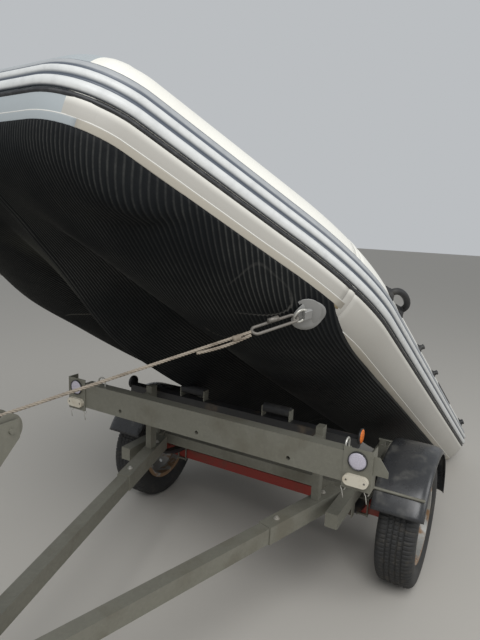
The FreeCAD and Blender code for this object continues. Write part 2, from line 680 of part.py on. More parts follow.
# Front beam, the uprights that stand on the drawbar's sleeves, and the arms between
half_beam = BEAM_LENGTH / 2
beam_rear = BEAM_FRONT + BEAM_DEPTH
beam_bottom = crossbar_z - BEAM_DROP
beam_top = beam_bottom + BEAM_HEIGHT
beam = box(-half_beam, half_beam, BEAM_FRONT, beam_rear, beam_bottom, beam_top)
for x in BEAM_HOLES:
    hole_start = Vector(x, BEAM_FRONT - BEAM_DEPTH, beam_bottom + BEAM_HOLE_RISE)
    beam = beam.cut(rod(BEAM_HOLE_RADIUS, hole_start, hole_start + Y_AXIS * (3 * BEAM_DEPTH)))
add("front_beam", beam)
upright_w, upright_run = UPRIGHT_SIZE
upright_x = drawbar_point(UPRIGHT_Y).x
upright_front = crossbar_rear - upright_run
upright = box(upright_x - upright_w / 2, upright_x + upright_w / 2, upright_front, crossbar_rear,
              frame_z + sleeve_h / 2, crossbar_z + UPRIGHT_TOP)
arm = box(upright_x - upright_w / 2, upright_x + upright_w / 2, beam_rear, upright_front,
          crossbar_z - ARM_HEIGHT / 2, crossbar_z + ARM_HEIGHT / 2)
add("uprights", *both(fuse([upright, arm])))


def tie_eye(x, side):
    """U-shaped eye of round wire on top of the front beam, its legs apart along a direction."""
    foot = Vector(x, BEAM_FRONT + BEAM_DEPTH / 2, beam_top)
    neck = foot + Z_AXIS * EYE_LEG
    legs = [rod(EYE_WIRE, foot + side * s, neck + side * s) for s in (-EYE_RADIUS, EYE_RADIUS)]
    arch = Part.makeTorus(EYE_RADIUS, EYE_WIRE, neck, side.cross(Z_AXIS))
    return fuse(legs + [arch.common(half_space(neck, Z_AXIS))])


add("tie_eyes", tie_eye(STARBOARD_EYE_X, X_AXIS), tie_eye(PORT_EYE_X, Y_AXIS))

# Lamp plates, reflectors and marker lamps on the ends of the front beam
plate_w, plate_h, plate_t = LAMP_PLATE
plate_outer = half_beam + LAMP_PLATE_PAST_BEAM
plate_front = BEAM_FRONT - plate_t
plate_z0 = beam_bottom - LAMP_PLATE_DROP
plate = box(plate_outer - plate_w, plate_outer, plate_front, BEAM_FRONT, plate_z0, plate_z0 + plate_h)
flange = box(plate_outer - plate_t, plate_outer, BEAM_FRONT, beam_rear, plate_z0, plate_z0 + plate_h)
plate_x = plate_outer - plate_w / 2
reflector_back = Vector(plate_x, plate_front, beam_bottom + REFLECTOR_RISE)
reflector = rod(REFLECTOR_RADIUS, reflector_back - Y_AXIS * REFLECTOR_THICKNESS, reflector_back)
marker_w, marker_h, marker_t = MARKER_SIZE
marker_back = Vector(plate_x, plate_front, beam_bottom + MARKER_RISE)
marker_parts = [centred_box(plate_x, marker_w - marker_h, plate_front - marker_t / 2, marker_t,
                            marker_back.z, marker_h)]
for side in (-1, 1):
    end = marker_back + X_AXIS * (side * (marker_w - marker_h) / 2)
    marker_parts.append(rod(marker_h / 2, end - Y_AXIS * marker_t, end))
add("lamp_plates", *both(fuse([plate, flange])))
add("front_reflectors", *both(reflector))
add("marker_lamps", *both(fuse(marker_parts)))

# Mudguards with an inner and an outer lip, and the stays that carry them from the side rails
guard_radius = TYRE_RADIUS + GUARD_GAP
guard_inner, guard_outer = half_track - GUARD_WIDTH / 2, half_track + GUARD_WIDTH / 2
lip_radius, under_radius = guard_radius - GUARD_LIP, guard_radius - GUARD_WALL
guard_section = [
    (guard_inner, lip_radius), (guard_inner, guard_radius),
    (guard_outer, guard_radius), (guard_outer, lip_radius),
    (guard_outer - GUARD_WALL, lip_radius), (guard_outer - GUARD_WALL, under_radius),
    (guard_inner + GUARD_WALL, under_radius), (guard_inner + GUARD_WALL, lip_radius),
]
guard = revolve([(x, TYRE_RADIUS + r) for x, r in guard_section], wheel_centre, X_AXIS,
                180 - GUARD_FRONT_ANGLE - GUARD_REAR_ANGLE)
guard.rotate(wheel_centre, X_AXIS, GUARD_REAR_ANGLE - 90)
add("port_mudguard", guard)
add("starboard_mudguard", mirrored(guard))
stay_z = frame_top + STAY_RISE
stay_reach = math.sqrt((guard_radius + STAY_RADIUS) ** 2 - (stay_z - TYRE_RADIUS) ** 2)
foot_w, foot_run = STAY_FOOT
stays = []
for y in (-stay_reach, stay_reach):
    stay_start = Vector(side_rail_x - STAY_INNER_END, y, stay_z)
    stay = rod(STAY_RADIUS, stay_start, Vector(guard_outer - STAY_OUTER_INSET, y, stay_z))
    foot = centred_box(side_rail_x, foot_w, y, foot_run, (frame_top + stay_z) / 2, STAY_RISE)
    stays += both(fuse([stay, foot]))
add("mudguard_stays", *stays)

# Leaf springs on the axle, with hangers and pins at the eyes and a clamp at the axle
pack_bottom = TYRE_RADIUS + AXLE_SIZE / 2
pack_top = pack_bottom + len(LEAF_SHARES) * LEAF_THICKNESS
main_leaf_z = pack_top - LEAF_THICKNESS / 2
eye_z = frame_bottom - SPRING_EYE_DROP
half_span = SPRING_SPAN / 2
leaf_sag = eye_z - main_leaf_z
leaf_radius = (half_span ** 2 + leaf_sag ** 2) / (2 * leaf_sag)
leaf_centre_z = main_leaf_z + leaf_radius
spring_x0 = side_rail_x - SPRING_WIDTH / 2


def leaf_point(radius, angle):
    return Vector(spring_x0, radius * math.sin(angle), leaf_centre_z - radius * math.cos(angle))


spring_parts = []
for k, share in enumerate(LEAF_SHARES):
    inner_r = leaf_radius - LEAF_THICKNESS / 2 + k * LEAF_THICKNESS
    sweep = math.asin(half_span / leaf_radius) * share
    upper = [leaf_point(inner_r, a) for a in (-sweep, 0, sweep)]
    lower = [leaf_point(inner_r + LEAF_THICKNESS, a) for a in (sweep, 0, -sweep)]
    outline = Part.Wire([Part.Arc(*upper).toShape(), Part.makeLine(upper[2], lower[0]),
                         Part.Arc(*lower).toShape(), Part.makeLine(lower[2], upper[0])])
    spring_parts.append(Part.Face(outline).extrude(X_AXIS * SPRING_WIDTH))
hangers = []
hanger_x = SPRING_WIDTH / 2 + HANGER_PLATE / 2
hanger_bottom = eye_z - HANGER_REACH
for y in (-half_span, half_span):
    eye = Vector(side_rail_x, y, eye_z)
    spring_parts.append(cross_rod(SPRING_EYE_RADIUS, eye, SPRING_WIDTH))
    hanger = [cross_rod(SPRING_PIN, eye, SPRING_WIDTH + 2 * HANGER_PLATE)]
    for x in (side_rail_x - hanger_x, side_rail_x + hanger_x):
        hanger.append(centred_box(x, HANGER_PLATE, y, 2 * HANGER_REACH,
                                  (hanger_bottom + frame_bottom) / 2, frame_bottom - hanger_bottom))
    hangers.append(fuse(hanger))
spring = fuse(spring_parts)
for y in (-half_span, half_span):
    spring = spring.cut(cross_rod(SPRING_PIN + SLIP, Vector(side_rail_x, y, eye_z), SPRING_WIDTH))
axle_bottom = TYRE_RADIUS - AXLE_SIZE / 2
clamp_w = SPRING_WIDTH + 4 * CLAMP_BOLT
clamp_top = pack_top + CLAMP_PLATE
clamp = [centred_box(side_rail_x, clamp_w, 0, CLAMP_RUN, axle_bottom - CLAMP_PLATE / 2, CLAMP_PLATE),
         centred_box(side_rail_x, clamp_w, 0, CLAMP_RUN, pack_top + CLAMP_PLATE / 2, CLAMP_PLATE)]
for x in (-SPRING_WIDTH / 2 - CLAMP_BOLT, SPRING_WIDTH / 2 + CLAMP_BOLT):
    for y in (-CLAMP_BOLT_SPACING / 2, CLAMP_BOLT_SPACING / 2):
        bolt_foot = Vector(side_rail_x + x, y, axle_bottom - CLAMP_PLATE - CLAMP_BOLT_END)
        bolt_head = Vector(side_rail_x + x, y, clamp_top + CLAMP_BOLT_END)
        clamp.append(rod(CLAMP_BOLT, bolt_foot, bolt_head))
add("leaf_springs", *both(spring))
add("spring_hangers", *[twin for hanger in hangers for twin in both(hanger)])
add("axle_clamps", *both(fuse(clamp).cut(spring)))

# Ball coupling over the nose tube
ball = Vector(0, BALL_Y, frame_z + BALL_RISE)
coupling_y1 = BALL_Y + COUPLING_LENGTH
top_z = ball.z + COUPLING_TOP
half_coupling = COUPLING_WIDTH / 2
coupling = box(-half_coupling, half_coupling, BALL_Y, coupling_y1, ball.z - COUPLING_SKIRT, top_z)
coupling = coupling.fuse(Part.makeSphere(BALL_RADIUS + SOCKET_WALL, ball))
below_mouth = half_space(ball - Z_AXIS * SOCKET_MOUTH, -Z_AXIS)
socket = Part.makeSphere(BALL_RADIUS, ball).fuse(rod(BALL_RADIUS, ball - Z_AXIS * (2 * BALL_RADIUS), ball))
add("coupling", largest(coupling.cut(below_mouth).cut(socket).cut(nose)))
lever_r, lever_rise, lever_back = LEVER_HUB
lever_w, lever_run, lever_t = LEVER_SIZE
lever_foot = Vector(0, BALL_Y + lever_back, top_z)
lever_y = BALL_Y + LEVER_START + lever_run / 2
lever = centred_box(0, lever_w, lever_y, lever_run, top_z + lever_rise + lever_t / 2, lever_t)
add("coupling_lever", fuse([rod(lever_r, lever_foot, lever_foot + Z_AXIS * lever_rise), lever]))

# Jockey wheel: clamped tube, inner tube, caster fork and wheel
jack_y = BALL_Y + JACK_BEHIND_BALL
half_nose = NOSE_SIZE / 2


def on_jack(z, x=0.0, y=0.0):
    return Vector(JACK_X + x, jack_y + y, z)


tube_bottom, tube_top = (frame_z + rise for rise in JACK_TUBE_ENDS)
add("jockey_tube", ring(JACK_OUTER, JACK_INNER + SLIP, on_jack(tube_bottom), on_jack(tube_top)))
clamp_z0, clamp_z1 = frame_z - JACK_CLAMP_HEIGHT / 2, frame_z + JACK_CLAMP_HEIGHT / 2
jack_clamp = fuse([
    box(JACK_X, -half_nose, jack_y - JACK_CLAMP_RUN / 2, jack_y + JACK_CLAMP_RUN / 2, clamp_z0, clamp_z1),
    rod(JACK_OUTER + JACK_CLAMP_WALL, on_jack(clamp_z0), on_jack(clamp_z1)),
])
add("jockey_clamp", jack_clamp.cut(rod(JACK_OUTER, on_jack(0), on_jack(BIG))))
fork_top = JACK_WHEEL_RADIUS + FORK_RISE
add("jockey_inner_tube", rod(JACK_INNER, on_jack(fork_top + SLIP), on_jack(frame_z + JACK_INNER_TOP)))
arm_z = tube_top + JACK_SHAFT_TOP
add("jockey_handle", fuse([
    rod(JACK_OUTER + JACK_CAP_EDGE, on_jack(tube_top), on_jack(tube_top + JACK_CAP)),
    rod(JACK_SHAFT, on_jack(tube_top), on_jack(arm_z + JACK_ARM / 2)),
    rod(JACK_ARM, on_jack(arm_z), on_jack(arm_z, -JACK_ARM_LENGTH)),
    rod(JACK_GRIP, on_jack(arm_z - JACK_ARM, -JACK_ARM_LENGTH),
        on_jack(arm_z + JACK_GRIP_LENGTH, -JACK_ARM_LENGTH)),
]))
jack_axle = on_jack(JACK_WHEEL_RADIUS, 0, JACK_TRAIL)
leg_inner = JACK_WHEEL_WIDTH / 2 + FORK_GAP
leg_side = face_of([
    (0, -FORK_RUN / 2, fork_top), (0, FORK_RUN / 2, fork_top), (0, JACK_TRAIL + FORK_EYE, JACK_WHEEL_RADIUS),
    (0, JACK_TRAIL, JACK_WHEEL_RADIUS - FORK_EYE), (0, JACK_TRAIL - FORK_EYE, JACK_WHEEL_RADIUS),
]).extrude(X_AXIS * FORK_PLATE)
fork_parts = [cross_rod(JACK_AXLE_RADIUS, jack_axle, 2 * (leg_inner + JACK_AXLE_END))]
for x in (-leg_inner - FORK_PLATE, leg_inner):
    leg = leg_side.copy()
    leg.translate(on_jack(0, x))
    fork_parts.append(leg)
fork_width = 2 * (leg_inner + FORK_PLATE)
fork_parts.append(centred_box(JACK_X, fork_width, jack_y, FORK_RUN, fork_top - FORK_PLATE / 2, FORK_PLATE))
add("jockey_fork", fuse(fork_parts))
jack_wheel = cross_rod(JACK_WHEEL_RADIUS, jack_axle, JACK_WHEEL_WIDTH)
rims = [e for e in jack_wheel.Edges if isinstance(e.Curve, Part.Circle)]
jack_wheel = jack_wheel.makeChamfer(JACK_WHEEL_EDGE, rims)
add("jockey_wheel", jack_wheel.cut(cross_rod(JACK_AXLE_RADIUS + SLIP, jack_axle, JACK_WHEEL_WIDTH)))

# Winch on its post: two cheek plates, the drum on its shaft and the crank
post_y = BALL_Y + POST_BEHIND_BALL
post_half = POST_SIZE / 2
winch_axis = Vector(0, post_y + WINCH_BEHIND_POST, frame_z + WINCH_RISE)
post_top = winch_axis.z - POST_DROP
post_foot = frame_z + half_nose
post_middle = (post_foot + post_top) / 2
add("winch_post", centred_box(0, POST_SIZE, post_y, POST_SIZE, post_middle, post_top - post_foot))
drum = [cross_rod(DRUM_RADIUS, winch_axis, DRUM_WIDTH)]
for x in (-DRUM_WIDTH / 2 - CHEEK_THICKNESS, DRUM_WIDTH / 2):
    cheek_start = winch_axis + X_AXIS * x
    drum.append(rod(CHEEK_RADIUS, cheek_start, cheek_start + X_AXIS * CHEEK_THICKNESS))
shaft_room = cross_rod(SHAFT_RADIUS + SLIP, winch_axis, 2 * POST_SIZE)
add("winch_drum", fuse(drum).cut(shaft_room))
plate_side = face_of([
    (0, post_y - post_half, post_top - WINCH_PLATE_FOOT), (0, post_y + post_half, post_top - WINCH_PLATE_FOOT),
    (0, winch_axis.y + WINCH_PLATE_NOSE, winch_axis.z - WINCH_PLATE_NOSE),
    (0, winch_axis.y + WINCH_PLATE_NOSE, winch_axis.z + WINCH_PLATE_NOSE),
    (0, winch_axis.y - WINCH_PLATE_NOSE, winch_axis.z + WINCH_PLATE_NOSE), (0, post_y - post_half, post_top),
]).extrude(X_AXIS * WINCH_PLATE)
winch_plates = []
for x in (-post_half - WINCH_PLATE, post_half):
    winch_plate = plate_side.copy()
    winch_plate.translate(X_AXIS * x)
    winch_plates.append(winch_plate.cut(shaft_room))
add("winch_frame", *winch_plates)
crank_start = winch_axis - X_AXIS * (post_half + CRANK_OFFSET)
turn = math.radians(CRANK_ANGLE)
crank_end = crank_start + Vector(0, -math.cos(turn), math.sin(turn)) * CRANK_LENGTH
grip_r, grip_length = CRANK_GRIP
add("winch_crank", fuse([
    rod(SHAFT_RADIUS, crank_start, winch_axis + X_AXIS * (post_half + WINCH_PLATE + SHAFT_END)),
    rod(CRANK_ARM, crank_start, crank_end),
    rod(grip_r, crank_end + X_AXIS * CRANK_BOSS, crank_end - X_AXIS * grip_length),
    rod(CRANK_BOSS, crank_start - X_AXIS * CRANK_BOSS, crank_start + X_AXIS * CRANK_BOSS),
]))

# Tow rings under the bow quarters, each held by webbing on a round patch. The hook is in the
# port ring and the rope runs from it to the winch.
port_quarter = segment_names.index("port_bow_tube")
quarter_start, quarter_end = centre_line[port_quarter], centre_line[port_quarter + 1]
ring_at = quarter_start + (quarter_end - quarter_start) * RING_ALONG
patch_base = TUBE_RADIUS + SKIRT_THICKNESS
patch_top = patch_base + PATCH_THICKNESS


def below_quarter(radius):
    return round_section(port_quarter, RING_ANGLE, radius, ring_at)


outside_patch = rod(patch_top, quarter_start, quarter_end)
patch = ring(patch_top, patch_base, quarter_start, quarter_end)
patch = patch.common(rod(RING_PATCH_RADIUS, below_quarter(TUBE_RADIUS / 2), below_quarter(2 * TUBE_RADIUS)))
patch = patch.cut(floor)
rope_end = winch_axis + Vector(ROPE_X, 0, DRUM_RADIUS + ROPE_RADIUS + SLIP)
rope_end_in_boat = boat_place.inverse().multVec(rope_end)
ring_foot = below_quarter(patch_top)
ring_axis = (ring_foot - ring_at).normalize()
ring_bar = ring_foot + ring_axis * (RING_WIRE + RING_REST)
pull = (rope_end_in_boat - ring_bar).normalize()
across = ring_axis.cross(pull).normalize()
flat = pull.cross(across)
ring_centre = ring_bar + pull * (RING_RADIUS - RING_WIRE)
webbing_corner = Vector(-WEBBING_WIDTH / 2, -WEBBING_RUN / 2, -WEBBING_RISE / 2)
webbing = Part.makeBox(WEBBING_WIDTH, WEBBING_RUN, WEBBING_RISE, webbing_corner)
webbing_turn = FreeCAD.Rotation(across, pull, flat, "ZXY")
webbing.Placement = FreeCAD.Placement(ring_bar - pull * RING_WIRE, webbing_turn)
webbing = webbing.cut(Part.makeTorus(RING_RADIUS, RING_WIRE + SLIP, ring_centre, flat)).cut(outside_patch)
add_boat("tow_patches", *both(patch.fuse(largest(webbing))))
add_boat("tow_rings", *both(Part.makeTorus(RING_RADIUS, RING_WIRE, ring_centre, flat)))


def link(start, along, side, length, width, wire):
    """Closed link of round wire, as two straight legs and two half turns."""
    half = width / 2
    near, far = start + along * half, start + along * (length - half)
    legs = [rod(wire, near + side * s, far + side * s) for s in (-half, half)]
    turns = []
    for centre, outwards in ((near, along * -1), (far, along)):
        turns.append(Part.makeTorus(half, wire, centre, along.cross(side)).common(half_space(centre, outwards)))
    return fuse(legs + turns)


hook_start = ring_centre + pull * (RING_RADIUS - RING_WIRE - HOOK_WIRE - SLIP)
rope_start = hook_start + pull * (HOOK_LENGTH + HOOK_WIRE)
add_boat("tow_hook", link(hook_start, pull, flat, HOOK_LENGTH, HOOK_WIDTH, HOOK_WIRE))
add_boat("winch_rope", rod(ROPE_RADIUS, rope_start, rope_end_in_boat))

# Bow fairlead with its roller on the bow tube
bow_top = Vector(0, -bow_station, BOW_RISE + TUBE_RADIUS)
cheek_run, cheek_t, cheek_h = BOW_CHEEK
base_w, base_t = BOW_BASE
boss_r, boss_length = BOW_BOSS
bow_foot = bow_top.z - BOW_SINK
cheek_middle = (bow_foot + bow_top.z + cheek_h) / 2
cheek_x = BOW_ROLLER_WIDTH / 2 + SLIP + cheek_t / 2
roller_axis = bow_top + Z_AXIS * (cheek_h - BOW_ROLLER_DROP)
boss_start = roller_axis + X_AXIS * (cheek_x + cheek_t / 2)
base_middle = (bow_foot + bow_top.z + base_t) / 2
fairlead = [centred_box(0, base_w, bow_top.y, cheek_run, base_middle, base_t + BOW_SINK),
            cross_rod(BOW_ROLLER_PIN, roller_axis, 2 * cheek_x + cheek_t),
            rod(boss_r, boss_start, boss_start + X_AXIS * boss_length)]
for x in (-cheek_x, cheek_x):
    fairlead.append(centred_box(x, cheek_t, bow_top.y, cheek_run, cheek_middle, cheek_h + BOW_SINK))
bow_roller = cross_rod(BOW_ROLLER_RADIUS, roller_axis, BOW_ROLLER_WIDTH)
add_boat("bow_fairlead", fuse(fairlead).cut(all_tubes))
add_boat("bow_roller", bow_roller.cut(cross_rod(BOW_ROLLER_PIN + SLIP, roller_axis, BOW_ROLLER_WIDTH)))

# Carrying handles: a moulded loop on each side tube, on two round feet
handle_tilt = math.radians(HANDLE_ANGLE)
handle_out = Vector(math.cos(handle_tilt), 0, math.sin(handle_tilt))
handle_at = Vector(half_spacing, HANDLE_FROM_SEAM - SIDE_LENGTH, 0) + handle_out * (TUBE_RADIUS - HANDLE_SINK)
foot_r, foot_t = HANDLE_FOOT
handle_parts, shoulders = [], []
for side in (-1, 1):
    foot = handle_at + Y_AXIS * (side * HANDLE_LENGTH / 2)
    corner = foot + handle_out * HANDLE_RISE - Y_AXIS * (side * HANDLE_LEAN)
    handle_parts += [rod(foot_r, foot, foot + handle_out * foot_t), rod(HANDLE_GRIP, foot, corner),
                     Part.makeSphere(HANDLE_GRIP, corner)]
    shoulders.append(corner)
handle_parts.append(rod(HANDLE_GRIP, *shoulders))
add_boat("carry_handles", *both(fuse(handle_parts).cut(all_tubes)))

# Rear lamps below the ends of the side rails
lamp_w, lamp_run, lamp_h = REAR_LAMP
lamp_top = frame_z - REAR_LAMP_DROP
rear_face = SIDE_RAIL_REAR + REAR_BRACKET
lamp_x0 = inner_face + REAR_LAMP_INSET
lamp_bottom = lamp_top - lamp_h
bracket_x1 = inner_face + REAR_BRACKET_WIDTH
add("rear_brackets", *both(box(inner_face, bracket_x1, SIDE_RAIL_REAR, rear_face, lamp_bottom, frame_z)))
add("rear_lamps", *both(box(lamp_x0, lamp_x0 + lamp_w, rear_face, rear_face + lamp_run, lamp_bottom, lamp_top)))

whole = Part.makeCompound(list(nodes.values()))
limits = whole.optimalBoundingBox(False)
shift = Vector(-(limits.XMin + limits.XMax) / 2, -(limits.YMin + limits.YMax) / 2, -limits.ZMin)
for name, shape in nodes.items():
    shape.translate(shift)
    shape.exportStep("parts/" + name + ".step")
print("moved by", [round(v, 3) for v in shift])
print("size", [round(v, 1) for v in (limits.XLength, limits.YLength, limits.ZLength)])
print("crossbar at", round(crossbar_z, 3), "solids", len(whole.Solids), "invalid",
      [name for name, shape in nodes.items() if not shape.isValid()])
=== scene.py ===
import json
import math
import bmesh
import bpy
import numpy as np
from mathutils import Matrix, Vector


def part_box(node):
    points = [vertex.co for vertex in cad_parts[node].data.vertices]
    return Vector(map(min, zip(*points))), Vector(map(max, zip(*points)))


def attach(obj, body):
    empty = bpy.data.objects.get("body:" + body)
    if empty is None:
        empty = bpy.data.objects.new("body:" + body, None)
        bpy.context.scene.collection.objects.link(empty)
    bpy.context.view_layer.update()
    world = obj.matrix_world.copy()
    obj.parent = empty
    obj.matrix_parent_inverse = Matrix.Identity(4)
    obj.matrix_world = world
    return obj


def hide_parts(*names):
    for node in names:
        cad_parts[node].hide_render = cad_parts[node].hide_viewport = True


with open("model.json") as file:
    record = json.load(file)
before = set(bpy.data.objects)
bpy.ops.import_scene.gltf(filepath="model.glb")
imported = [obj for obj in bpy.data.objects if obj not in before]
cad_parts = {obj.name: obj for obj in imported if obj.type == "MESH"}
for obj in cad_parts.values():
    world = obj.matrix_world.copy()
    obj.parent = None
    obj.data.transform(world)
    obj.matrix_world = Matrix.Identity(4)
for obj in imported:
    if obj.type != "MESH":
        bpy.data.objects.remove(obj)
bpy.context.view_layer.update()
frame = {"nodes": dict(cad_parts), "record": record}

record = frame["record"]
hinge = {joint["name"]: Vector(joint["pos_m"]) for joint in record["behaviour"]["joints"] if "pos_m" in joint}
mount = {m["name"]: m for m in record["mounts"]}
bpy.context.scene.view_settings.view_transform = "Standard"

# The viewpoint: ahead of the trailer and a little to port, at the height of a standing person's
# chest, looking slightly down, with the phone held a little askew.
axle_middle = (hinge["port_wheel_spin"] + hinge["starboard_wheel_spin"]) / 2
EYE_FROM_AXLE = Vector((1.066, -2.290, 1.566))
TURN_LEFT, LOOK_DOWN, TILT = math.radians(28.97), math.radians(10.5), math.radians(2.65)
FOCAL_PIXELS, FRAME_HEIGHT_PIXELS, SENSOR_MM = 521.6, 640, 36.0
level_ahead = Vector((-math.sin(TURN_LEFT), math.cos(TURN_LEFT), 0))
ahead = level_ahead * math.cos(LOOK_DOWN) - Vector((0, 0, math.sin(LOOK_DOWN)))
level_right = Vector((math.cos(TURN_LEFT), math.sin(TURN_LEFT), 0))
level_up = level_right.cross(ahead)
right = level_right * math.cos(TILT) + level_up * math.sin(TILT)
up = level_up * math.cos(TILT) - level_right * math.sin(TILT)


def new_object(name, data):
    """Object made of a mesh, lamp or camera, in the scene."""
    made = bpy.data.objects.new(name, data)
    bpy.context.scene.collection.objects.link(made)
    return made


camera = new_object("camera", bpy.data.cameras.new("camera"))
camera.data.sensor_width = SENSOR_MM
camera.data.lens = SENSOR_MM * FOCAL_PIXELS / FRAME_HEIGHT_PIXELS
eye = Vector((axle_middle.x, axle_middle.y, 0)) + EYE_FROM_AXLE
camera.matrix_world = Matrix.Translation(eye) @ Matrix((right, up, -ahead)).transposed().to_4x4()
bpy.context.scene.camera = camera

# The floor and the light of a plain studio: a pale matt floor that fades into a pale wall of
# light, one large soft lamp above and ahead, and a weaker one to port.
FLOOR_HALF, LAMPS_AIM = 40.0, Vector((0, 0, 0.8))
floor_mesh = bpy.data.meshes.new("studio_floor")
floor_corners = [(x * FLOOR_HALF, y * FLOOR_HALF, 0) for x, y in ((-1, -1), (1, -1), (1, 1), (-1, 1))]
floor_mesh.from_pydata(floor_corners, [], [(0, 1, 2, 3)])
studio_floor = new_object("studio_floor", floor_mesh)
pale = bpy.data.materials.new("studio_floor")
pale.use_nodes = True
matt = pale.node_tree.nodes["Principled BSDF"]
matt.inputs["Base Color"].default_value = (0.42, 0.40, 0.365, 1)
matt.inputs["Roughness"].default_value = 0.9
floor_mesh.materials.append(pale)
world = bpy.data.worlds.new("studio")
world.use_nodes = True
bpy.context.scene.world = world
sky = world.node_tree.nodes["Background"]
sky.inputs["Color"].default_value = (0.80, 0.83, 0.86, 1)
sky.inputs["Strength"].default_value = 0.62
for name, place, size, power in (("key", (2.5, -4.5, 6.0), 4.0, 330.0), ("side", (6.0, 1.0, 3.0), 3.0, 90.0)):
    lamp = bpy.data.lights.new(name, "AREA")
    lamp.size = size
    lamp.energy = power
    lamp_object = new_object(name, lamp)
    lamp_object.location = place
    lamp_object.rotation_euler = (LAMPS_AIM - Vector(place)).to_track_quat("-Z", "Y").to_euler()

# How the boat lies. Its own frame has x to port, y aft and z up, and starts between the ends of
# the side tubes. The place comes from the pad on the transom that takes the motor's clamp.
PAD_AFT, PAD_UP = -0.291, 0.120
pad = mount["motor_clamp_pad"]
aft = Vector(pad["axis"]).normalized()
to_port = Vector((aft.y, -aft.x, 0)).normalized()
skyward = to_port.cross(aft)
stern = Vector(pad["pos_m"]) - aft * PAD_AFT - skyward * PAD_UP
boat_axes = np.array([to_port, aft, skyward])


def afloat(points):
    """Points of the boat's own frame, in an array of any shape that ends in x, y, z, in the shared frame."""
    return np.asarray(points, float) @ boat_axes + np.array(stern)


# The centre line of the tubes: straight sides, slanting quarters and a short bow, with the
# corners rounded as an inflated tube rounds them. TUBE is the tubes' radius.
TUBE, HALF_SPACING, SIDE, QUARTER, HALF_BOW, BOW_RISE = 0.190, 0.720, 2.427, 0.699, 0.305, 0.084
KINK_RUN, CORNER_RUN, ARC_STEPS, STEP = 0.26, 0.055, 14, 0.04
corners = [Vector(p) for p in (
    (-HALF_SPACING, 0, 0), (-HALF_SPACING, -SIDE, 0), (-HALF_BOW, -SIDE - QUARTER, BOW_RISE),
    (HALF_BOW, -SIDE - QUARTER, BOW_RISE), (HALF_SPACING, -SIDE, 0), (HALF_SPACING, 0, 0))]
runs = [0, KINK_RUN, CORNER_RUN, CORNER_RUN, KINK_RUN, 0]


def bend(before, corner, after, run):
    """Points of a round bend that starts and ends a given run from the corner."""
    start = corner + (before - corner).normalized() * run
    end = corner + (after - corner).normalized() * run
    fractions = [k / ARC_STEPS for k in range(ARC_STEPS + 1)]
    return [start.lerp(corner, t).lerp(corner.lerp(end, t), t) for t in fractions]


line = [corners[0]]
for k in range(1, len(corners)):
    last = k == len(corners) - 1
    arc = [corners[k]] if last else bend(corners[k - 1], corners[k], corners[k + 1], runs[k])
    start, gap = line[-1], (arc[0] - line[-1]).length
    count = max(1, round(gap / STEP))
    line += [start.lerp(arc[0], n / count) for n in range(1, count)] + arc
line = np.array(line)
along = np.concatenate([[0], np.cumsum(np.linalg.norm(np.diff(line, axis=0), axis=1))])
heading = np.gradient(line, along, axis=0)
heading /= np.linalg.norm(heading, axis=1, keepdims=True)
outward = np.cross(heading, (0, 0, 1))
outward /= np.linalg.norm(outward, axis=1, keepdims=True)
crown = np.cross(outward, heading)


def nearest_run(point):
    """Distance along the centre line of its sample nearest a point."""
    return along[np.argmin(np.linalg.norm(line - np.array(point), axis=1))]


BOW_SEAM_PAST_CORNER = 0.006
kink_at = [nearest_run(corners[1]), nearest_run(corners[4])]
bow_seam_at = [nearest_run(corners[2]) - BOW_SEAM_PAST_CORNER, nearest_run(corners[3]) + BOW_SEAM_PAST_CORNER]


def round_tube(samples, degrees, radius):
    """Points round the tube at the line's samples: one row each, one point for each angle."""
    a = np.radians(np.asarray(degrees, float))[None, :, None]
    r = np.asarray(radius, float)
    r = r[..., None] if r.ndim == 2 else np.broadcast_to(r, (1, len(degrees)))[..., None]
    spokes = np.cos(a) * outward[samples][:, None] + np.sin(a) * crown[samples][:, None]
    return line[samples][:, None] + r * spokes


def ring(centre, first, second, radius, turn):
    """Points round a centre, at angles from the first way towards the second."""
    return centre + radius * (np.cos(turn)[:, None] * first + np.sin(turn)[:, None] * second)


def path_map(lengths, across):
    """Map of a skin: metres along it, and how far across it."""
    return np.stack(np.broadcast_arrays(lengths, across), -1)


def skin(name, rows, uv=None, around=False, ends=False):
    """Mesh object through rows of points. uv has a column more than the rows where it goes around."""
    rows = np.asarray(rows, float)
    n, m = rows.shape[:2]
    columns = m if around else m - 1
    i, j = (a.ravel() for a in np.meshgrid(np.arange(n - 1), np.arange(columns), indexing="ij"))
    j2 = (j + 1) % m
    quads = np.stack([i * m + j, i * m + j2, (i + 1) * m + j2, (i + 1) * m + j], 1)
    faces = quads.tolist()
    if ends:
        faces += [list(range(m))[::-1], [(n - 1) * m + k for k in range(m)]]
    mesh = bpy.data.meshes.new(name)
    mesh.from_pydata(rows.reshape(-1, 3).tolist(), [], faces)
    if uv is not None:
        layer = mesh.uv_layers.new(name="path")
        corners_uv = np.zeros((len(mesh.loops), 2))
        quads_uv = np.stack([uv[i, j], uv[i, j + 1], uv[i + 1, j + 1], uv[i + 1, j]], 1)
        corners_uv[:len(quads) * 4] = quads_uv.reshape(-1, 2)
        layer.data.foreach_set("uv", corners_uv.ravel())
    mesh.polygons.foreach_set("use_smooth", [True] * len(mesh.polygons))
    mesh.update()
    piece = new_object(name, mesh)
    if ends:
        outside_out(piece)
    return piece


def outside_out(piece, change=None):
    """Turns the faces of a closed mesh outwards, after a change to them where one is given."""
    work = bmesh.new()
    work.from_mesh(piece.data)
    if change:
        change(work)
    bmesh.ops.recalc_face_normals(work, faces=work.faces)
    work.to_mesh(piece.data)
    work.free()


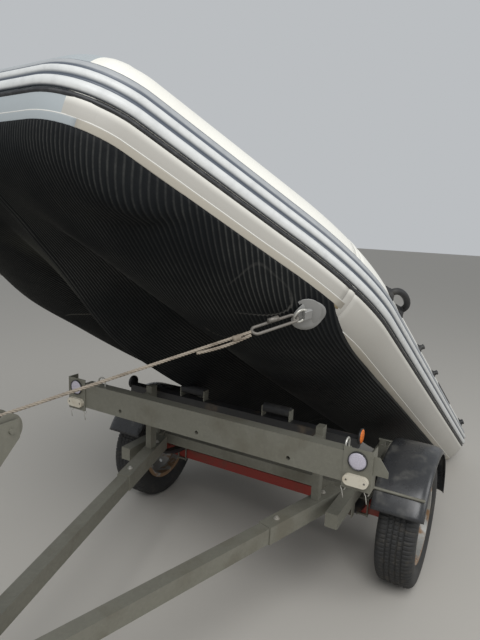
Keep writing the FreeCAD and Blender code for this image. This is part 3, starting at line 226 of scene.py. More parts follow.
# The finishes are node materials. A value taken from one node can be added, multiplied and so
# on in plain Python, and each such step adds the Math node that does it.
class Value:
    """One output socket of a finish."""

    def __init__(self, finish, socket):
        self.finish, self.socket = finish, socket

    def step(self, operation, *others):
        return self.finish.node("ShaderNodeMath", {"operation": operation}, [self, *others])

    def __add__(self, other):
        return self.step("ADD", other)

    def __mul__(self, other):
        return self.step("MULTIPLY", other)

    def __sub__(self, other):
        return self.step("SUBTRACT", other)

    def __rsub__(self, other):
        return self.finish.node("ShaderNodeMath", {"operation": "SUBTRACT"}, [other, self])

    def __pow__(self, other):
        return self.step("POWER", other)

    def over(self, low, high):
        """0 below low, 1 above high and smooth between."""
        settings = {"interpolation_type": "SMOOTHSTEP", "clamp": True}
        values = {"Value": self, "From Min": low, "From Max": high}
        return self.finish.node("ShaderNodeMapRange", settings, values)


class Finish:
    """A material and the nodes that make it."""

    def __init__(self, name, **numbers):
        self.material = bpy.data.materials.new(name)
        self.material.use_nodes = True
        self.tree = self.material.node_tree
        self.shader = self.tree.nodes["Principled BSDF"]
        for socket, number in numbers.items():
            self.shader.inputs[socket.replace("_", " ")].default_value = number
        self.here = self.node("ShaderNodeTexCoord", {}, {}, "Object")

    def node(self, kind, settings, values, output=0):
        made = self.tree.nodes.new(kind)
        for name, setting in settings.items():
            setattr(made, name, setting)
        pairs = values.items() if isinstance(values, dict) else enumerate(values)
        for key, value in pairs:
            if isinstance(value, Value):
                self.tree.links.new(value.socket, made.inputs[key])
            else:
                made.inputs[key].default_value = value
        return Value(self, made.outputs[output])

    def stretched(self, scale):
        return self.node("ShaderNodeMapping", {}, {"Vector": self.here, "Scale": scale})

    def noise(self, scale, detail=3.0, source=None):
        values = {"Vector": source or self.here, "Scale": scale, "Detail": detail, "Roughness": 0.55}
        return self.node("ShaderNodeTexNoise", {}, values)

    def cells(self, scale, output="Distance"):
        return self.node("ShaderNodeTexVoronoi", {}, {"Vector": self.here, "Scale": scale}, output)

    def part(self, axis, source=None):
        """X, Y or Z of a vector, or else of the place on the object."""
        return self.node("ShaderNodeSeparateXYZ", {}, [source or self.here], axis)

    def path(self, axis):
        """The piece's own map: metres along it (X), and how far across it (Y)."""
        return self.part(axis, self.node("ShaderNodeUVMap", {"uv_map": "path"}, {}))

    def mix(self, factor, a, b):
        colours = {6: a if isinstance(a, Value) else (*a, 1), 7: b if isinstance(b, Value) else (*b, 1)}
        return self.node("ShaderNodeMix", {"data_type": "RGBA"}, {0: factor, **colours}, 2)

    def feed(self, socket, value):
        self.tree.links.new(value.socket, self.shader.inputs[socket])

    def relief(self, height, distance, strength=1.0):
        values = {"Height": height, "Distance": distance, "Strength": strength}
        self.feed("Normal", self.node("ShaderNodeBump", {}, values))


def wear(piece, finish):
    """Gives a new piece its finish."""
    piece.data.materials.clear()
    piece.data.materials.append(finish.material)
    return piece


def dress(finish, *nodes):
    """Gives CAD nodes that are shown as they are their finish."""
    for node in nodes:
        for slot in frame["nodes"][node].material_slots:
            slot.material = finish.material


# The tubes are coated fabric, glued into cylinders and pumped hard: ivory along the sides and
# quarters, cool grey at the bow. The fabric has a fine weave under its coat, faint creases by
# the seams, and grey dust that the rain has drawn down.
# Quarter turns below straight out over which the ivory fades into its painted shade
UNDERSIDE_SHADE_TURNS = (-0.19, -0.10)


def tube_fabric(name, colour, dirt, below=None):
    """Coated fabric. The colour below is painted shade: it shows under the strake, where the path's Y is
    negative.
    """
    finish = Finish(name, IOR=1.46)
    cloudy = finish.noise(2.3, 4.0).over(0.35, 0.75)
    streak = finish.noise(9.0, 5.0, finish.stretched((1, 1, 0.18))).over(0.52, 0.8)
    grain = finish.noise(420.0, 2.0)
    tint = finish.mix(cloudy * 0.35, colour, [c * 0.86 for c in colour])
    if below:
        tint = finish.mix(finish.path("Y").over(*UNDERSIDE_SHADE_TURNS), below, tint)
    tint = finish.mix(streak * 0.16 + finish.noise(60.0).over(0.62, 0.8) * 0.05, tint, dirt)
    finish.feed("Base Color", tint)
    finish.feed("Roughness", cloudy * 0.12 + grain * 0.1 + 0.34)
    weave = finish.node("ShaderNodeTexWave", {"wave_type": "BANDS", "bands_direction": "DIAGONAL"},
                        {"Vector": finish.here, "Scale": 260.0})
    crease = finish.noise(7.0, 2.0, finish.stretched((1, 0.5, 1)))
    finish.relief(weave * 0.06 + grain * 0.1 + crease * 1.6, 0.0016, 0.5)
    return finish


# The ivory's third colour is painted shade for the tubes' underside, under the strake.
ivory = tube_fabric("ivory_tube_fabric", (0.80, 0.785, 0.72), (0.45, 0.42, 0.35), (0.42, 0.405, 0.37))
bow_grey = tube_fabric("grey_tube_fabric", (0.36, 0.395, 0.41), (0.22, 0.22, 0.20))
RING_SIDES = 80
CONE, CONE_END, CONE_SOFT, CONE_SWELL = 0.120, 0.105, 0.022, 0.004
SEAM_PINCH, SEAM_REACH = 0.0016, 0.018
ring_degrees = np.arange(RING_SIDES) * 360.0 / RING_SIDES
seams = [kink_at[0], bow_seam_at[0], bow_seam_at[1], kink_at[1]]
cuts = [0] + [int(np.argmin(abs(along - s))) for s in seams] + [len(line) - 1]
tube_nodes = ["starboard_side_tube", "starboard_bow_tube", "bow_tube", "port_bow_tube", "port_side_tube"]
# Quarter turns up or down from straight out, for the painted shade under the strake
ring_turns = np.append(np.where(ring_degrees > 180, ring_degrees - 360, ring_degrees), 0) / 90


def stern_cone(end, facing):
    """Rings of a tube's tapered end, from its straight part to the middle of the end disc."""
    profile = [(CONE * t, TUBE + (CONE_END - TUBE) * t + CONE_SWELL * math.sin(math.pi * t))
               for t in (0.2, 0.4, 0.6, 0.8)]
    profile += [(CONE - CONE_SOFT / 2, CONE_END + 0.014), (CONE - 0.004, CONE_END), (CONE, CONE_END - 0.012),
                (CONE + 0.001, CONE_END * 0.6), (CONE + 0.0015, 0.004)]
    turn = np.radians(ring_degrees)
    return [ring(line[end] + facing * heading[end] * run, outward[end], crown[end], radius, turn)
            for run, radius in profile]


for name, first, last in zip(tube_nodes, cuts[:-1], cuts[1:]):
    samples = np.arange(first, last + 1)
    pinch = sum(np.exp(-((along[samples] - s) / SEAM_REACH) ** 2) for s in seams) * SEAM_PINCH
    rows = list(round_tube(samples, ring_degrees, np.repeat((TUBE - pinch)[:, None], RING_SIDES, 1)))
    if first == 0:
        rows = stern_cone(0, -1)[::-1] + rows
    if last == len(line) - 1:
        rows = rows + stern_cone(last, 1)
    tube_map = path_map(np.arange(len(rows))[:, None] * STEP, ring_turns[None])
    tube = skin(name + "_skin", afloat(rows), tube_map, around=True, ends=True)
    wear(tube, bow_grey if name == "bow_tube" else ivory)
    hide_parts(name)
    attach(tube, "base")


# Tapes of the same fabric cover the joins: one over each seam, and one along the underside of
# the tubes, where the panels overlap, with the bright cut edge that shows all along.
def band(name, samples, low, high, thickness, finish, wobble=0.0):
    """Strip that lies on the tube between two angles."""
    inner = np.linspace(low, high, 7)
    edge = np.degrees(thickness / TUBE)
    outer = np.concatenate([[low], np.linspace(low + edge, high - edge, 9), [high]])
    radii = np.concatenate([np.full(7, TUBE - 0.002), [TUBE], np.full(9, TUBE + thickness), [TUBE]])
    degrees = np.concatenate([inner, outer[::-1]])
    rings = round_tube(samples, degrees, np.repeat(radii[None], len(samples), 0))
    if wobble:
        drift = wobble * np.sin(along[samples] * 23.0) * np.sin(along[samples] * 7.3 + 1.0)
        rings = rings + drift[:, None, None] * crown[samples][:, None]
    piece = skin(name, afloat(rings), around=True, ends=True)
    wear(piece, finish)
    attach(piece, "base")
    return piece


TAPE, TAPE_WIDTH, TAPE_TUCK, CUT_EDGE_SHEET, GLUE_SHEET = 0.0011, 0.028, 0.0008, 0.00165, 0.00077
LOWER_TAPE, CUT_EDGE, GLUE_LINE = (-31.5, -24.5), (-25.2, -24.0), (-33.4, -31.3)
SIDE_TAPE, SIDE_CUT_EDGE = (-54.0, -46.0), (-46.6, -45.6)
beige = tube_fabric("beige_tape_fabric", (0.42, 0.39, 0.33), (0.27, 0.215, 0.14))
cut_edge = tube_fabric("cut_edge_fabric", (0.66, 0.65, 0.61), (0.42, 0.40, 0.34))
old_glue = Finish("old_glue", Roughness=0.55)
drip = old_glue.noise(40.0, 4.0)
old_glue.feed("Base Color", old_glue.mix(drip.over(0.35, 0.65), (0.20, 0.145, 0.07), (0.42, 0.35, 0.22)))
old_glue.relief(drip, 0.002)
quarter_samples = {side: np.arange(*sorted((cuts[a], cuts[b] + 1))) for side, a, b in
                   (("starboard", 1, 2), ("bow", 2, 3), ("port", 3, 4))}
for side, samples in quarter_samples.items():
    band(side + "_lower_tape", samples, *LOWER_TAPE, TAPE, bow_grey if side == "bow" else beige)
    band(side + "_cut_edge", samples, *CUT_EDGE, CUT_EDGE_SHEET, cut_edge, 0.0006)
    band(side + "_glue_line", samples, *GLUE_LINE, GLUE_SHEET, old_glue, 0.0022)
for side, samples in (("starboard", np.arange(0, cuts[1] + 1)), ("port", np.arange(cuts[4], len(line)))):
    band(side + "_side_tape", samples, *SIDE_TAPE, TAPE, beige)
    band(side + "_side_cut_edge", samples, *SIDE_CUT_EDGE, CUT_EDGE_SHEET, cut_edge, 0.0006)
for name, run in zip(("starboard_kink", "starboard_bow", "port_bow", "port_kink"), seams):
    near = [np.interp(run + d, along, np.arange(len(along))) for d in (-TAPE_WIDTH / 2, TAPE_WIDTH / 2)]
    rings = []
    for position in np.linspace(near[0], near[1], 5):
        k, t = int(position), position - int(position)
        centre = line[k] * (1 - t) + line[k + 1] * t
        o = outward[k] * (1 - t) + outward[k + 1] * t
        c = crown[k] * (1 - t) + crown[k + 1] * t
        at_edge = abs(position - sum(near) / 2) >= (near[1] - near[0]) * 0.45
        radius = TUBE + (-TAPE_TUCK if at_edge else TAPE)
        rings.append(ring(centre, o, c, radius, np.radians(ring_degrees)))
    tape_map = path_map(np.arange(len(rings))[:, None] * TAPE_WIDTH, ring_turns[None])
    tape = skin(name + "_seam_tape", afloat(rings), tape_map, around=True)
    wear(tape, ivory)
    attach(tape, "base")

# The rubbing strake is extruded rubber, glued round the widest part of the tubes: a black fender
# strip below, its black also painted shade under the ribs, two full round ribs with deep grooves
# painted dark as painted shade, and a thin greyer rib above.
FENDER = (-11.0, -6.8)
RIBS = ((-6.5, 3.3, 0.0130, 1.0), (5.4, 13.8, 0.0125, 0.95), (16.2, 23.0, 0.0062, 0.5))
STRAKE_BASE, RIB_POINTS = 0.0035, 9
strake_rubber = Finish("strake_rubber", IOR=1.5)
speckle = strake_rubber.noise(35.0, 5.0)
rib_share = strake_rubber.path("Y")
rubbed = strake_rubber.mix(speckle.over(0.4, 0.75) * 0.5, (0.62, 0.63, 0.62), (0.47, 0.48, 0.48))
# The grooves are painted a dark blue-grey: painted shade in the deep, narrow grooves.
groove_shade_tint = strake_rubber.mix(rib_share.over(0.05, 0.95), (0.085, 0.10, 0.125), rubbed)
strake_rubber.feed("Base Color", groove_shade_tint)
strake_rubber.feed("Roughness", speckle * 0.2 + 0.32)
strake_rubber.relief(strake_rubber.noise(180.0, 3.0) * 0.3 + speckle * 0.3, 0.0008)
profile = []
for low, high, crest, tone in RIBS:
    for k in range(RIB_POINTS + 1):
        t = k / RIB_POINTS
        bulge = math.sin(math.pi * t) ** 0.6 if 0 < k < RIB_POINTS else 0.0
        radius = TUBE + STRAKE_BASE + (crest - STRAKE_BASE) * bulge
        profile.append((low + (high - low) * t, radius, tone * min(1, bulge * 1.3)))
    profile.append((high + 1.0, TUBE + STRAKE_BASE * 0.7, 0.0))
profile += [(RIBS[-1][1] + 1.5, TUBE - 0.003, 0.0), (RIBS[0][0] + 1, TUBE - 0.003, 0.0)]
degrees, radii, share = (np.array([row[k] for row in profile]) for k in range(3))
every = np.arange(len(line))
strake_map = path_map(along[:, None], np.append(share, share[0])[None])
strake_rings = round_tube(every, degrees, np.repeat(radii[None], len(line), 0))
strake = skin("strake_skin", afloat(strake_rings), strake_map, True, True)
wear(strake, strake_rubber)
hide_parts("rubbing_strake")
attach(strake, "base")

# The strip's black is partly the rubber's own colour and partly painted shade under the strake's overhang.
fender_rubber_and_shade = Finish("fender_rubber_and_shade", IOR=1.5)
grit = fender_rubber_and_shade.noise(45.0, 5.0)
fender_tint = fender_rubber_and_shade.mix(grit.over(0.45, 0.75) * 0.5, (0.022, 0.023, 0.026), (0.09, 0.09, 0.09))
fender_rubber_and_shade.feed("Base Color", fender_tint)
fender_rubber_and_shade.feed("Roughness", grit * 0.3 + 0.4)
fender = band("fender_strip", every, *FENDER, 0.005, fender_rubber_and_shade)

# The bottom is one inflated sheet of heavy ribbed fabric, glued to the underside of the tubes:
# a lobe under each side and a sharp keel between them. The ribs are moulded into the coat and run
# from the transom to the bow; their crests are painted paler, as painted highlight and dust.
# Each row has its distance from the stern, and places across and up of the edge, lobe, valley and keel.
STATIONS, EDGE_X, EDGE_Z, LOBE_X, LOBE_Z, VALLEY_X, VALLEY_Z, KEEL_Z = np.array((
    (0.325, 0.815, -0.165, 0.545, -0.255, 0.265, -0.185, -0.330),
    (1.288, 0.837, -0.150, 0.545, -0.268, 0.265, -0.190, -0.352),
    (2.145, 0.861, -0.127, 0.545, -0.270, 0.260, -0.195, -0.375),
    (2.497, 0.862, -0.098, 0.522, -0.262, 0.246, -0.190, -0.337),
    (2.846, 0.638, -0.074, 0.372, -0.212, 0.177, -0.163, -0.218),
    (3.090, 0.514, -0.021, 0.259, -0.148, 0.118, -0.140, -0.140),
    (3.290, 0.399, -0.011, 0.227, -0.045, 0.113, -0.045, -0.045))).T
RIB_PITCH, RIB_HEIGHT, RIB_SAMPLES, RIB_SHARPNESS, RIB_END = 0.0122, 0.0022, 6, 1.6, 0.004
FLOOR_ROWS, ROWS_CROWD_FORWARD, TOP_COLUMNS, TOP_SHARE, TOP_INSET = 84, 1.35, 81, 0.995, 0.004
SHEET, KEEL_FLAT, KEEL_SWELL, SLACK, SLACK_ENDS = 0.003, 0.022, 0.008, 0.002, 3.0
LAP_DEGREES, SIDE_LAP_DEGREES, BEYOND_SLOPE = 30.0, 52.0, 4.0
SOFT_CREASE, SOFT_SIDE, SOFT_BOW, BOW_PART = 0.012, 0.03, 0.085, (2.4, 2.75)
GLUE_START, GLUE_END = 0.105, 0.163
# Across and along the bottom, where the keel's starboard flank gets its painted light
LIT_FLANK_ACROSS, LIT_FLANK_ALONG = (0.0, 0.04, 0.17, 0.24), (1.9, 2.2, 2.85, 3.0)
DECK_UNDERSIDE, BOW_LIFT_START, BOW_LIFT, SHEET_DEPTH = -0.0735, 2.86, 0.19, 0.007


def smooth_through(station, column):
    """Smooth curve through one column of the floor's table."""
    slope = np.gradient(column, STATIONS)
    s = np.clip(station, STATIONS[0], STATIONS[-1])
    k = np.clip(np.searchsorted(STATIONS, s) - 1, 0, len(STATIONS) - 2)
    h = STATIONS[k + 1] - STATIONS[k]
    t = (s - STATIONS[k]) / h
    return ((2 * t ** 3 - 3 * t ** 2 + 1) * column[k] + (t ** 3 - 2 * t ** 2 + t) * h * slope[k]
            + (3 * t ** 2 - 2 * t ** 3) * column[k + 1] + (t ** 3 - t ** 2) * h * slope[k + 1])


def lower_of(a, b, blend):
    """The lower of two heights, with a soft passage between them."""
    h = np.clip(0.5 + 0.5 * (b - a) / blend, 0, 1)
    return b * (1 - h) + a * h - blend * h * (1 - h)


def tube_underside(x, station):
    """Height of the tubes' underside, and distance out from the centre line, over plan points."""
    best = np.full(x.shape, 1e9)
    rise, out = np.zeros(x.shape), np.zeros(x.shape)
    for a, b in zip(line[:-1], line[1:]):
        run = b[:2] - a[:2]
        t = np.clip(((x - a[0]) * run[0] + (-station - a[1]) * run[1]) / (run @ run), 0, 1)
        away = np.hypot(x - a[0] - t * run[0], -station - a[1] - t * run[1])
        closer = away < best
        best = np.where(closer, away, best)
        rise = np.where(closer, a[2] + (b[2] - a[2]) * t, rise)
        side = (x - a[0]) * run[1] - (-station - a[1]) * run[0]
        out = np.where(closer, away * np.sign(side), out)
    r = TUBE + SHEET
    beyond = np.maximum(best - r, 0) * BEYOND_SLOPE
    return rise - np.sqrt(np.maximum(r * r - best * best, 0)) + beyond, out


def floor_height(x, station):
    """Height of the bottom in the boat's frame."""
    side = np.abs(x)
    columns = (EDGE_X, EDGE_Z, LOBE_X, LOBE_Z, VALLEY_X, VALLEY_Z, KEEL_Z)
    ex, ez, lx, lz, vx, vz, kz = (smooth_through(station, column) for column in columns)
    # Circle through the edge, the lobe's lowest point and the valley
    a1, b1, c1 = 2 * (lx - ex), 2 * (lz - ez), lx ** 2 + lz ** 2 - ex ** 2 - ez ** 2
    a2, b2, c2 = 2 * (vx - lx), 2 * (vz - lz), vx ** 2 + vz ** 2 - lx ** 2 - lz ** 2
    cut = a1 * b2 - a2 * b1
    cut = np.where(np.abs(cut) < 1e-9, 1e-9, cut)
    cx, cz = (c1 * b2 - c2 * b1) / cut, (a1 * c2 - a2 * c1) / cut
    r = np.hypot(ex - cx, ez - cz)
    lobe = cz - np.sqrt(np.maximum(r * r - (side - cx) ** 2, 0))
    flank = vz + (kz - vz) * (vx - side) / (vx - KEEL_FLAT)
    flank = np.where(side < KEEL_FLAT, kz + KEEL_SWELL * ((side / KEEL_FLAT) ** 2 - 1), flank)
    body = lower_of(lobe, np.minimum(flank, vz + 0.2), SOFT_CREASE)
    tube, out = tube_underside(x, station)
    glued = np.clip((out - GLUE_START) / (GLUE_END - GLUE_START), 0, 1) ** 2
    soft = np.interp(station, BOW_PART, (SOFT_SIDE, SOFT_BOW))
    return lower_of(body, tube, soft) * (1 - glued) + tube * glued


lap = TUBE * math.cos(math.radians(LAP_DEGREES))
side_lap = HALF_SPACING + TUBE * math.cos(math.radians(SIDE_LAP_DEGREES))
edge_line = line + outward * lap
port_half = edge_line[(edge_line[:, 0] >= 0) & (-edge_line[:, 1] > SIDE - 0.1)]
port_half = port_half[np.argsort(port_half[:, 0])]


def edge_station(x):
    """How far forward the bottom reaches at a distance from the middle."""
    return np.interp(np.abs(x), port_half[:, 0], -port_half[:, 1])


# The ribs are evenly spaced round the bottom's girth at its widest
FINE, WIDEST = 400, 2.3
fine_x = np.linspace(0, side_lap, FINE)
reference = floor_height(fine_x, np.full(FINE, WIDEST))
girth = np.concatenate([[0], np.cumsum(np.hypot(np.diff(fine_x), np.diff(reference)))])
half_ribs = int(girth[-1] / RIB_PITCH)
girth_at = np.arange(-half_ribs * RIB_SAMPLES, half_ribs * RIB_SAMPLES + 1) * RIB_PITCH / RIB_SAMPLES
girth_at = np.clip(girth_at, -girth[-1], girth[-1])
column_x = np.sign(girth_at) * np.interp(np.abs(girth_at), girth, fine_x)
crest = 0.5 + 0.5 * np.cos(2 * math.pi * girth_at / RIB_PITCH)
rows_share = 1 - (1 - np.linspace(0, 1, FLOOR_ROWS)) ** ROWS_CROWD_FORWARD
x = np.repeat(column_x[None], FLOOR_ROWS, 0)
station = STATIONS[0] + (edge_station(column_x) - STATIONS[0])[None] * rows_share[:, None]
slack = SLACK * np.sin(9.0 * x + 2.1 * station) * np.sin(5.3 * station + 3.0 * x)
z = floor_height(x, station) + slack * (station < SLACK_ENDS)
points = np.stack([x, -station, z], -1)
normal = np.cross(np.gradient(points, axis=1), np.gradient(points, axis=0))
normal /= np.maximum(np.linalg.norm(normal, axis=2, keepdims=True), 1e-9)
normal *= -np.sign(normal[..., 2:3] + 1e-12)
fade = np.clip((1 - rows_share) / RIB_END, 0, 1)
points = points + normal * (crest[None] ** RIB_SHARPNESS * RIB_HEIGHT * fade[:, None])[..., None]

bottom_fabric = Finish("ribbed_bottom_fabric", IOR=1.22)
crest_share = bottom_fabric.path("Y")
dusty = bottom_fabric.noise(3.0, 5.0).over(0.38, 0.7)
lint = bottom_fabric.noise(150.0, 3.0)
# Paler rib crests: painted highlight along each rib, with dust mixed in
crest_highlight_and_dust = crest_share.over(0.62, 1.0) * (dusty * 0.6 + 0.2)
sheet_tint = bottom_fabric.mix(dusty * 0.5, (0.004, 0.005, 0.006), (0.010, 0.011, 0.011))
sheet_tint = bottom_fabric.mix(crest_highlight_and_dust * (lint * 0.9 + 0.1), sheet_tint, (0.10, 0.10, 0.092))
# The keel's starboard flank is painted paler, as painted light on the face turned to the light, and thin
# scuffs run over the folds
lit_flank_paint = bottom_fabric.node("ShaderNodeAttribute", {"attribute_name": "lit_flank_paint"}, {}, "Fac")
sheet_tint = bottom_fabric.mix(lit_flank_paint * (dusty * 0.5 + 0.5), sheet_tint, (0.040, 0.041, 0.034))
fold_line = bottom_fabric.noise(2.2, 1.0) - 0.5
scuffed = bottom_fabric.noise(1.7, 2.0).over(0.57, 0.64)
scuffs = (1 - fold_line.step("ABSOLUTE").over(0.0015, 0.004)) * scuffed
sheet_tint = bottom_fabric.mix(scuffs * (lint * 0.5 + 0.2), sheet_tint, (0.16, 0.155, 0.14))
bottom_fabric.feed("Base Color", sheet_tint)
bottom_fabric.feed("Roughness", lint * 0.25 + 0.5)
bottom_fabric.relief(lint * 0.5 + bottom_fabric.noise(30.0) * 0.5, 0.001, 0.6)

# The sheet is closed by the floor's upper skin, under the boards
top_x = np.linspace(TOP_SHARE * column_x[-1], TOP_SHARE * column_x[0], TOP_COLUMNS)
top_station = STATIONS[0] + (edge_station(top_x) - TOP_INSET - STATIONS[0])[None] * rows_share[:, None]
top_x_grid = np.repeat(top_x[None], FLOOR_ROWS, 0)
top_z = DECK_UNDERSIDE + np.maximum(top_station - BOW_LIFT_START, 0) * BOW_LIFT
top_z = np.maximum(top_z, floor_height(top_x_grid, top_station) + SHEET_DEPTH)
top = np.stack([top_x_grid, -top_station, top_z], -1)
points = np.concatenate([points, top], 1)
stations_closed = np.concatenate([station, top_station, station[:, :1]], 1)
crests_closed = np.concatenate([crest, np.zeros(TOP_COLUMNS), crest[:1]])
bottom = skin("ribbed_bottom", afloat(points), path_map(stations_closed, crests_closed[None]), True)
# The painted light on the keel's starboard flank, fading in across and along
lit_flank_across = np.interp(-points[..., 0], LIT_FLANK_ACROSS, (0, 1, 1, 0))
lit_flank_along = np.interp(-points[..., 1], LIT_FLANK_ALONG, (0, 1, 1, 0))
lit_flank_layer = bottom.data.attributes.new("lit_flank_paint", "FLOAT", "POINT")
lit_flank_layer.data.foreach_set("value", (lit_flank_across * lit_flank_along).ravel())


def close_ends(work):
    """Closes the front by a strip between the last rows below and above, and the aft end by one face."""
    work.verts.ensure_lookup_table()
    total, below = points.shape[1], len(column_x)
    front = [(points[-1, k, 0], work.verts[(FLOOR_ROWS - 1) * total + k]) for k in range(total)]
    lower, upper = front[:below], front[below:][::-1]
    i = j = 0
    while i < len(lower) - 1 or j < len(upper) - 1:
        go_below = j == len(upper) - 1 or (i < len(lower) - 1 and lower[i + 1][0] < upper[j + 1][0])
        following = lower[i + 1][1] if go_below else upper[j + 1][1]
        work.faces.new((lower[i][1], upper[j][1], following))
        i, j = (i + 1, j) if go_below else (i, j + 1)
    work.faces.new([work.verts[k] for k in range(total)][::-1])


outside_out(bottom, close_ends)
wear(bottom, bottom_fabric)
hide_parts("air_floor")
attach(bottom, "base")


# The boat's boards are grey painted plywood with an anti-slip grain, the transom is the same wood
# under a thicker coat, and the motor pads on it are black plastic sheets held by screws.
def painted(name, colour, worn, roughness, grain, spots):
    """Paint or plastic with a fine grain, and worn or dusty places of another colour."""
    finish = Finish(name, IOR=1.48)
    rub = finish.noise(spots, 5.0)
    fine = finish.noise(grain, 3.0)
    finish.feed("Base Color", finish.mix(rub.over(0.5, 0.72) * 0.7, colour, worn))
    finish.feed("Roughness", rub * 0.25 + fine * 0.1 + (roughness - 0.15))
    finish.relief(fine * 0.5 + rub * 0.5, 0.0006, 0.6)
    return finish


deck_paint = painted("grey_deck_paint", (0.20, 0.21, 0.21), (0.30, 0.27, 0.22), 0.6, 260.0, 5.0)
transom_paint = painted("transom_paint", (0.36, 0.37, 0.37), (0.25, 0.23, 0.20), 0.45, 90.0, 6.0)
black_plastic = painted("black_plastic", (0.014, 0.014, 0.015), (0.07, 0.07, 0.065), 0.42, 300.0, 18.0)
dress(deck_paint, "floor_boards")
dress(transom_paint, "transom")
dress(black_plastic, "motor_pads", "bow_fairlead")


# The benches are folded aluminium sheet, brushed along their length and dulled. They lie across
# the boat, with their ends on the side tubes.
def bare_metal(name, colour, stain, metallic, roughness, brushed=(1, 1, 1)):
    """Metal with a cloudy surface, stains and fine scratches."""
    finish = Finish(name)
    cloud = finish.noise(6.0, 5.0)
    scratch = finish.noise(120.0, 3.0, finish.stretched(brushed))
    spangle = finish.cells(95.0, "Color")
    grey = finish.node("ShaderNodeRGBToBW", {}, [spangle])
    tint = finish.mix(grey * 0.30, colour, [c * 0.66 for c in colour])
    tint = finish.mix(cloud.over(0.48, 0.74) * 0.6, tint, stain)
    finish.feed("Base Color", tint)
    finish.feed("Metallic", metallic - cloud.over(0.5, 0.8) * (metallic * 0.5))
    finish.feed("Roughness", cloud * 0.3 + scratch * 0.16 + grey * 0.06 + (roughness - 0.2))
    finish.relief(scratch * 0.5 + cloud * 0.4 + grey * 0.1, 0.0007, 0.5)
    return finish


aluminium = bare_metal("seat_aluminium", (0.60, 0.61, 0.62), (0.42, 0.40, 0.37), 0.85, 0.42, (0.05, 1, 1))
dress(aluminium, "aft_seat", "fore_seat")

# The trailer's bars are hot-dip galvanised steel, dulled to an olive grey and painted darker still
# as painted shade from the boat above, with the crystals of the zinc, water stains and pale
# scratches. The bolts, eyes and rings are brighter zinc.
galvanised = bare_metal("galvanised_steel", (0.205, 0.20, 0.165), (0.10, 0.088, 0.06), 0.4, 0.5)
bright_zinc = bare_metal("bright_zinc", (0.52, 0.51, 0.47), (0.28, 0.24, 0.18), 0.7, 0.4)
black_steel = painted("black_steel_paint", (0.022, 0.022, 0.023), (0.10, 0.075, 0.05), 0.45, 150.0, 12.0)
red_steel = painted("red_steel_paint", (0.27, 0.028, 0.018), (0.13, 0.06, 0.04), 0.45, 120.0, 9.0)
dress(galvanised, "side_rails", "cross_member", "drawbar_sleeves", "drawbar_tubes", "drawbar_nose",
      "front_beam", "uprights", "roller_brackets", "lamp_plates", "winch_post", "winch_frame",
      "rear_brackets", "coupling", "jockey_tube", "jockey_inner_tube", "jockey_clamp", "jockey_fork",
      "jockey_handle", "winch_crank", "winch_drum", "port_hub", "starboard_hub", "mudguard_stays",
      "axle_clamps", "spring_hangers")
dress(bright_zinc, "tie_eyes", "tow_rings", "coupling_lever")
dress(black_steel, "crossbar", "leaf_springs")
dress(red_steel, "axle")

# The keel rollers and the jockey wheel are moulded black rubber that turns on steel pins, and the
# roller on the bow is grey plastic.
rubber = painted("black_rubber", (0.02, 0.02, 0.021), (0.08, 0.075, 0.065), 0.62, 200.0, 10.0)
grey_plastic = painted("grey_plastic", (0.50, 0.52, 0.53), (0.34, 0.33, 0.31), 0.4, 160.0, 10.0)
dress(rubber, "keel_rollers", "jockey_wheel")
dress(grey_plastic, "bow_roller")


# The road tyres are black rubber with circumferential grooves, and short sipes that cut the
# shoulders into blocks. Dust lies in the grooves and on the side walls.
def lathe(name, profile, centre, axis, finish, sides, bumps=None):
    """Closed ring or disc turned about an axis. The profile has (along the axis, radius) points."""
    along_axis = Vector(axis).normalized()
    first = along_axis.orthogonal().normalized()
    second = along_axis.cross(first)
    turn = np.arange(sides) * 2 * math.pi / sides
    spoke = np.cos(turn)[:, None] * np.array(first) + np.sin(turn)[:, None] * np.array(second)
    a, r = np.array(profile, float).T
    radius = np.repeat(r[:, None], sides, 1) - (bumps(a, r, turn) if bumps else 0)
    rows = np.array(centre) + a[:, None, None] * np.array(along_axis) + radius[..., None] * spoke
    piece = skin(name, rows, around=True, ends=True)
    return wear(piece, finish)


tyre_rubber = painted("tyre_rubber", (0.020, 0.020, 0.020), (0.055, 0.048, 0.038), 0.66, 220.0, 30.0)
TYRE_SIDES, TYRE_R, TREAD_EDGE_R, TREAD_HALF, TREAD_CROWN = 720, 0.285, 0.264, 0.0500, 0.35
GROOVES, GROOVE_WIDTH, GROOVE_WALL, GROOVE_DEPTH = (-0.034, -0.012, 0.012, 0.034), 0.0042, 0.0012, 0.006
BLOCKS, SHOULDER, SIPE_DEPTH, SHOULDER_SIPE, MIDDLE_SIPE = 90, 0.036, 0.0045, 0.25, 0.13


def tread(a, r, turn):
    """Depth of the grooves round the tread and of the sipes across its shoulders."""
    on_tread = (r > TREAD_EDGE_R)[:, None]
    groove = np.zeros_like(a)
    for g in GROOVES:
        groove = np.maximum(groove, np.clip((GROOVE_WIDTH - np.abs(a - g)) / GROOVE_WALL, 0, 1))
    block = turn * BLOCKS / (2 * math.pi)
    on_shoulder = (np.abs(a) > SHOULDER)[:, None]
    sipes = np.where(on_shoulder, block[None] % 1.0 < SHOULDER_SIPE, (block[None] + 0.5) % 1.0 < MIDDLE_SIPE)
    return on_tread * np.maximum(groove[:, None] * GROOVE_DEPTH, sipes * SIPE_DEPTH)


side_wall = [(0.0640, 0.1690), (0.0642, 0.1825), (0.0700, 0.1930), (0.0780, 0.2050), (0.0822, 0.2270),
             (0.0818, 0.2450), (0.0790, 0.2600), (0.0745, 0.2700), (0.0690, 0.2765), (0.0620, 0.2810),
             (0.0540, 0.2838)]
tread_across = np.linspace(TREAD_HALF, -TREAD_HALF, 51)
tyre_profile = side_wall + [(x, TYRE_R - 0.0004 - TREAD_CROWN * x * x) for x in tread_across]
tyre_profile += [(-x, r) for x, r in reversed(side_wall)]


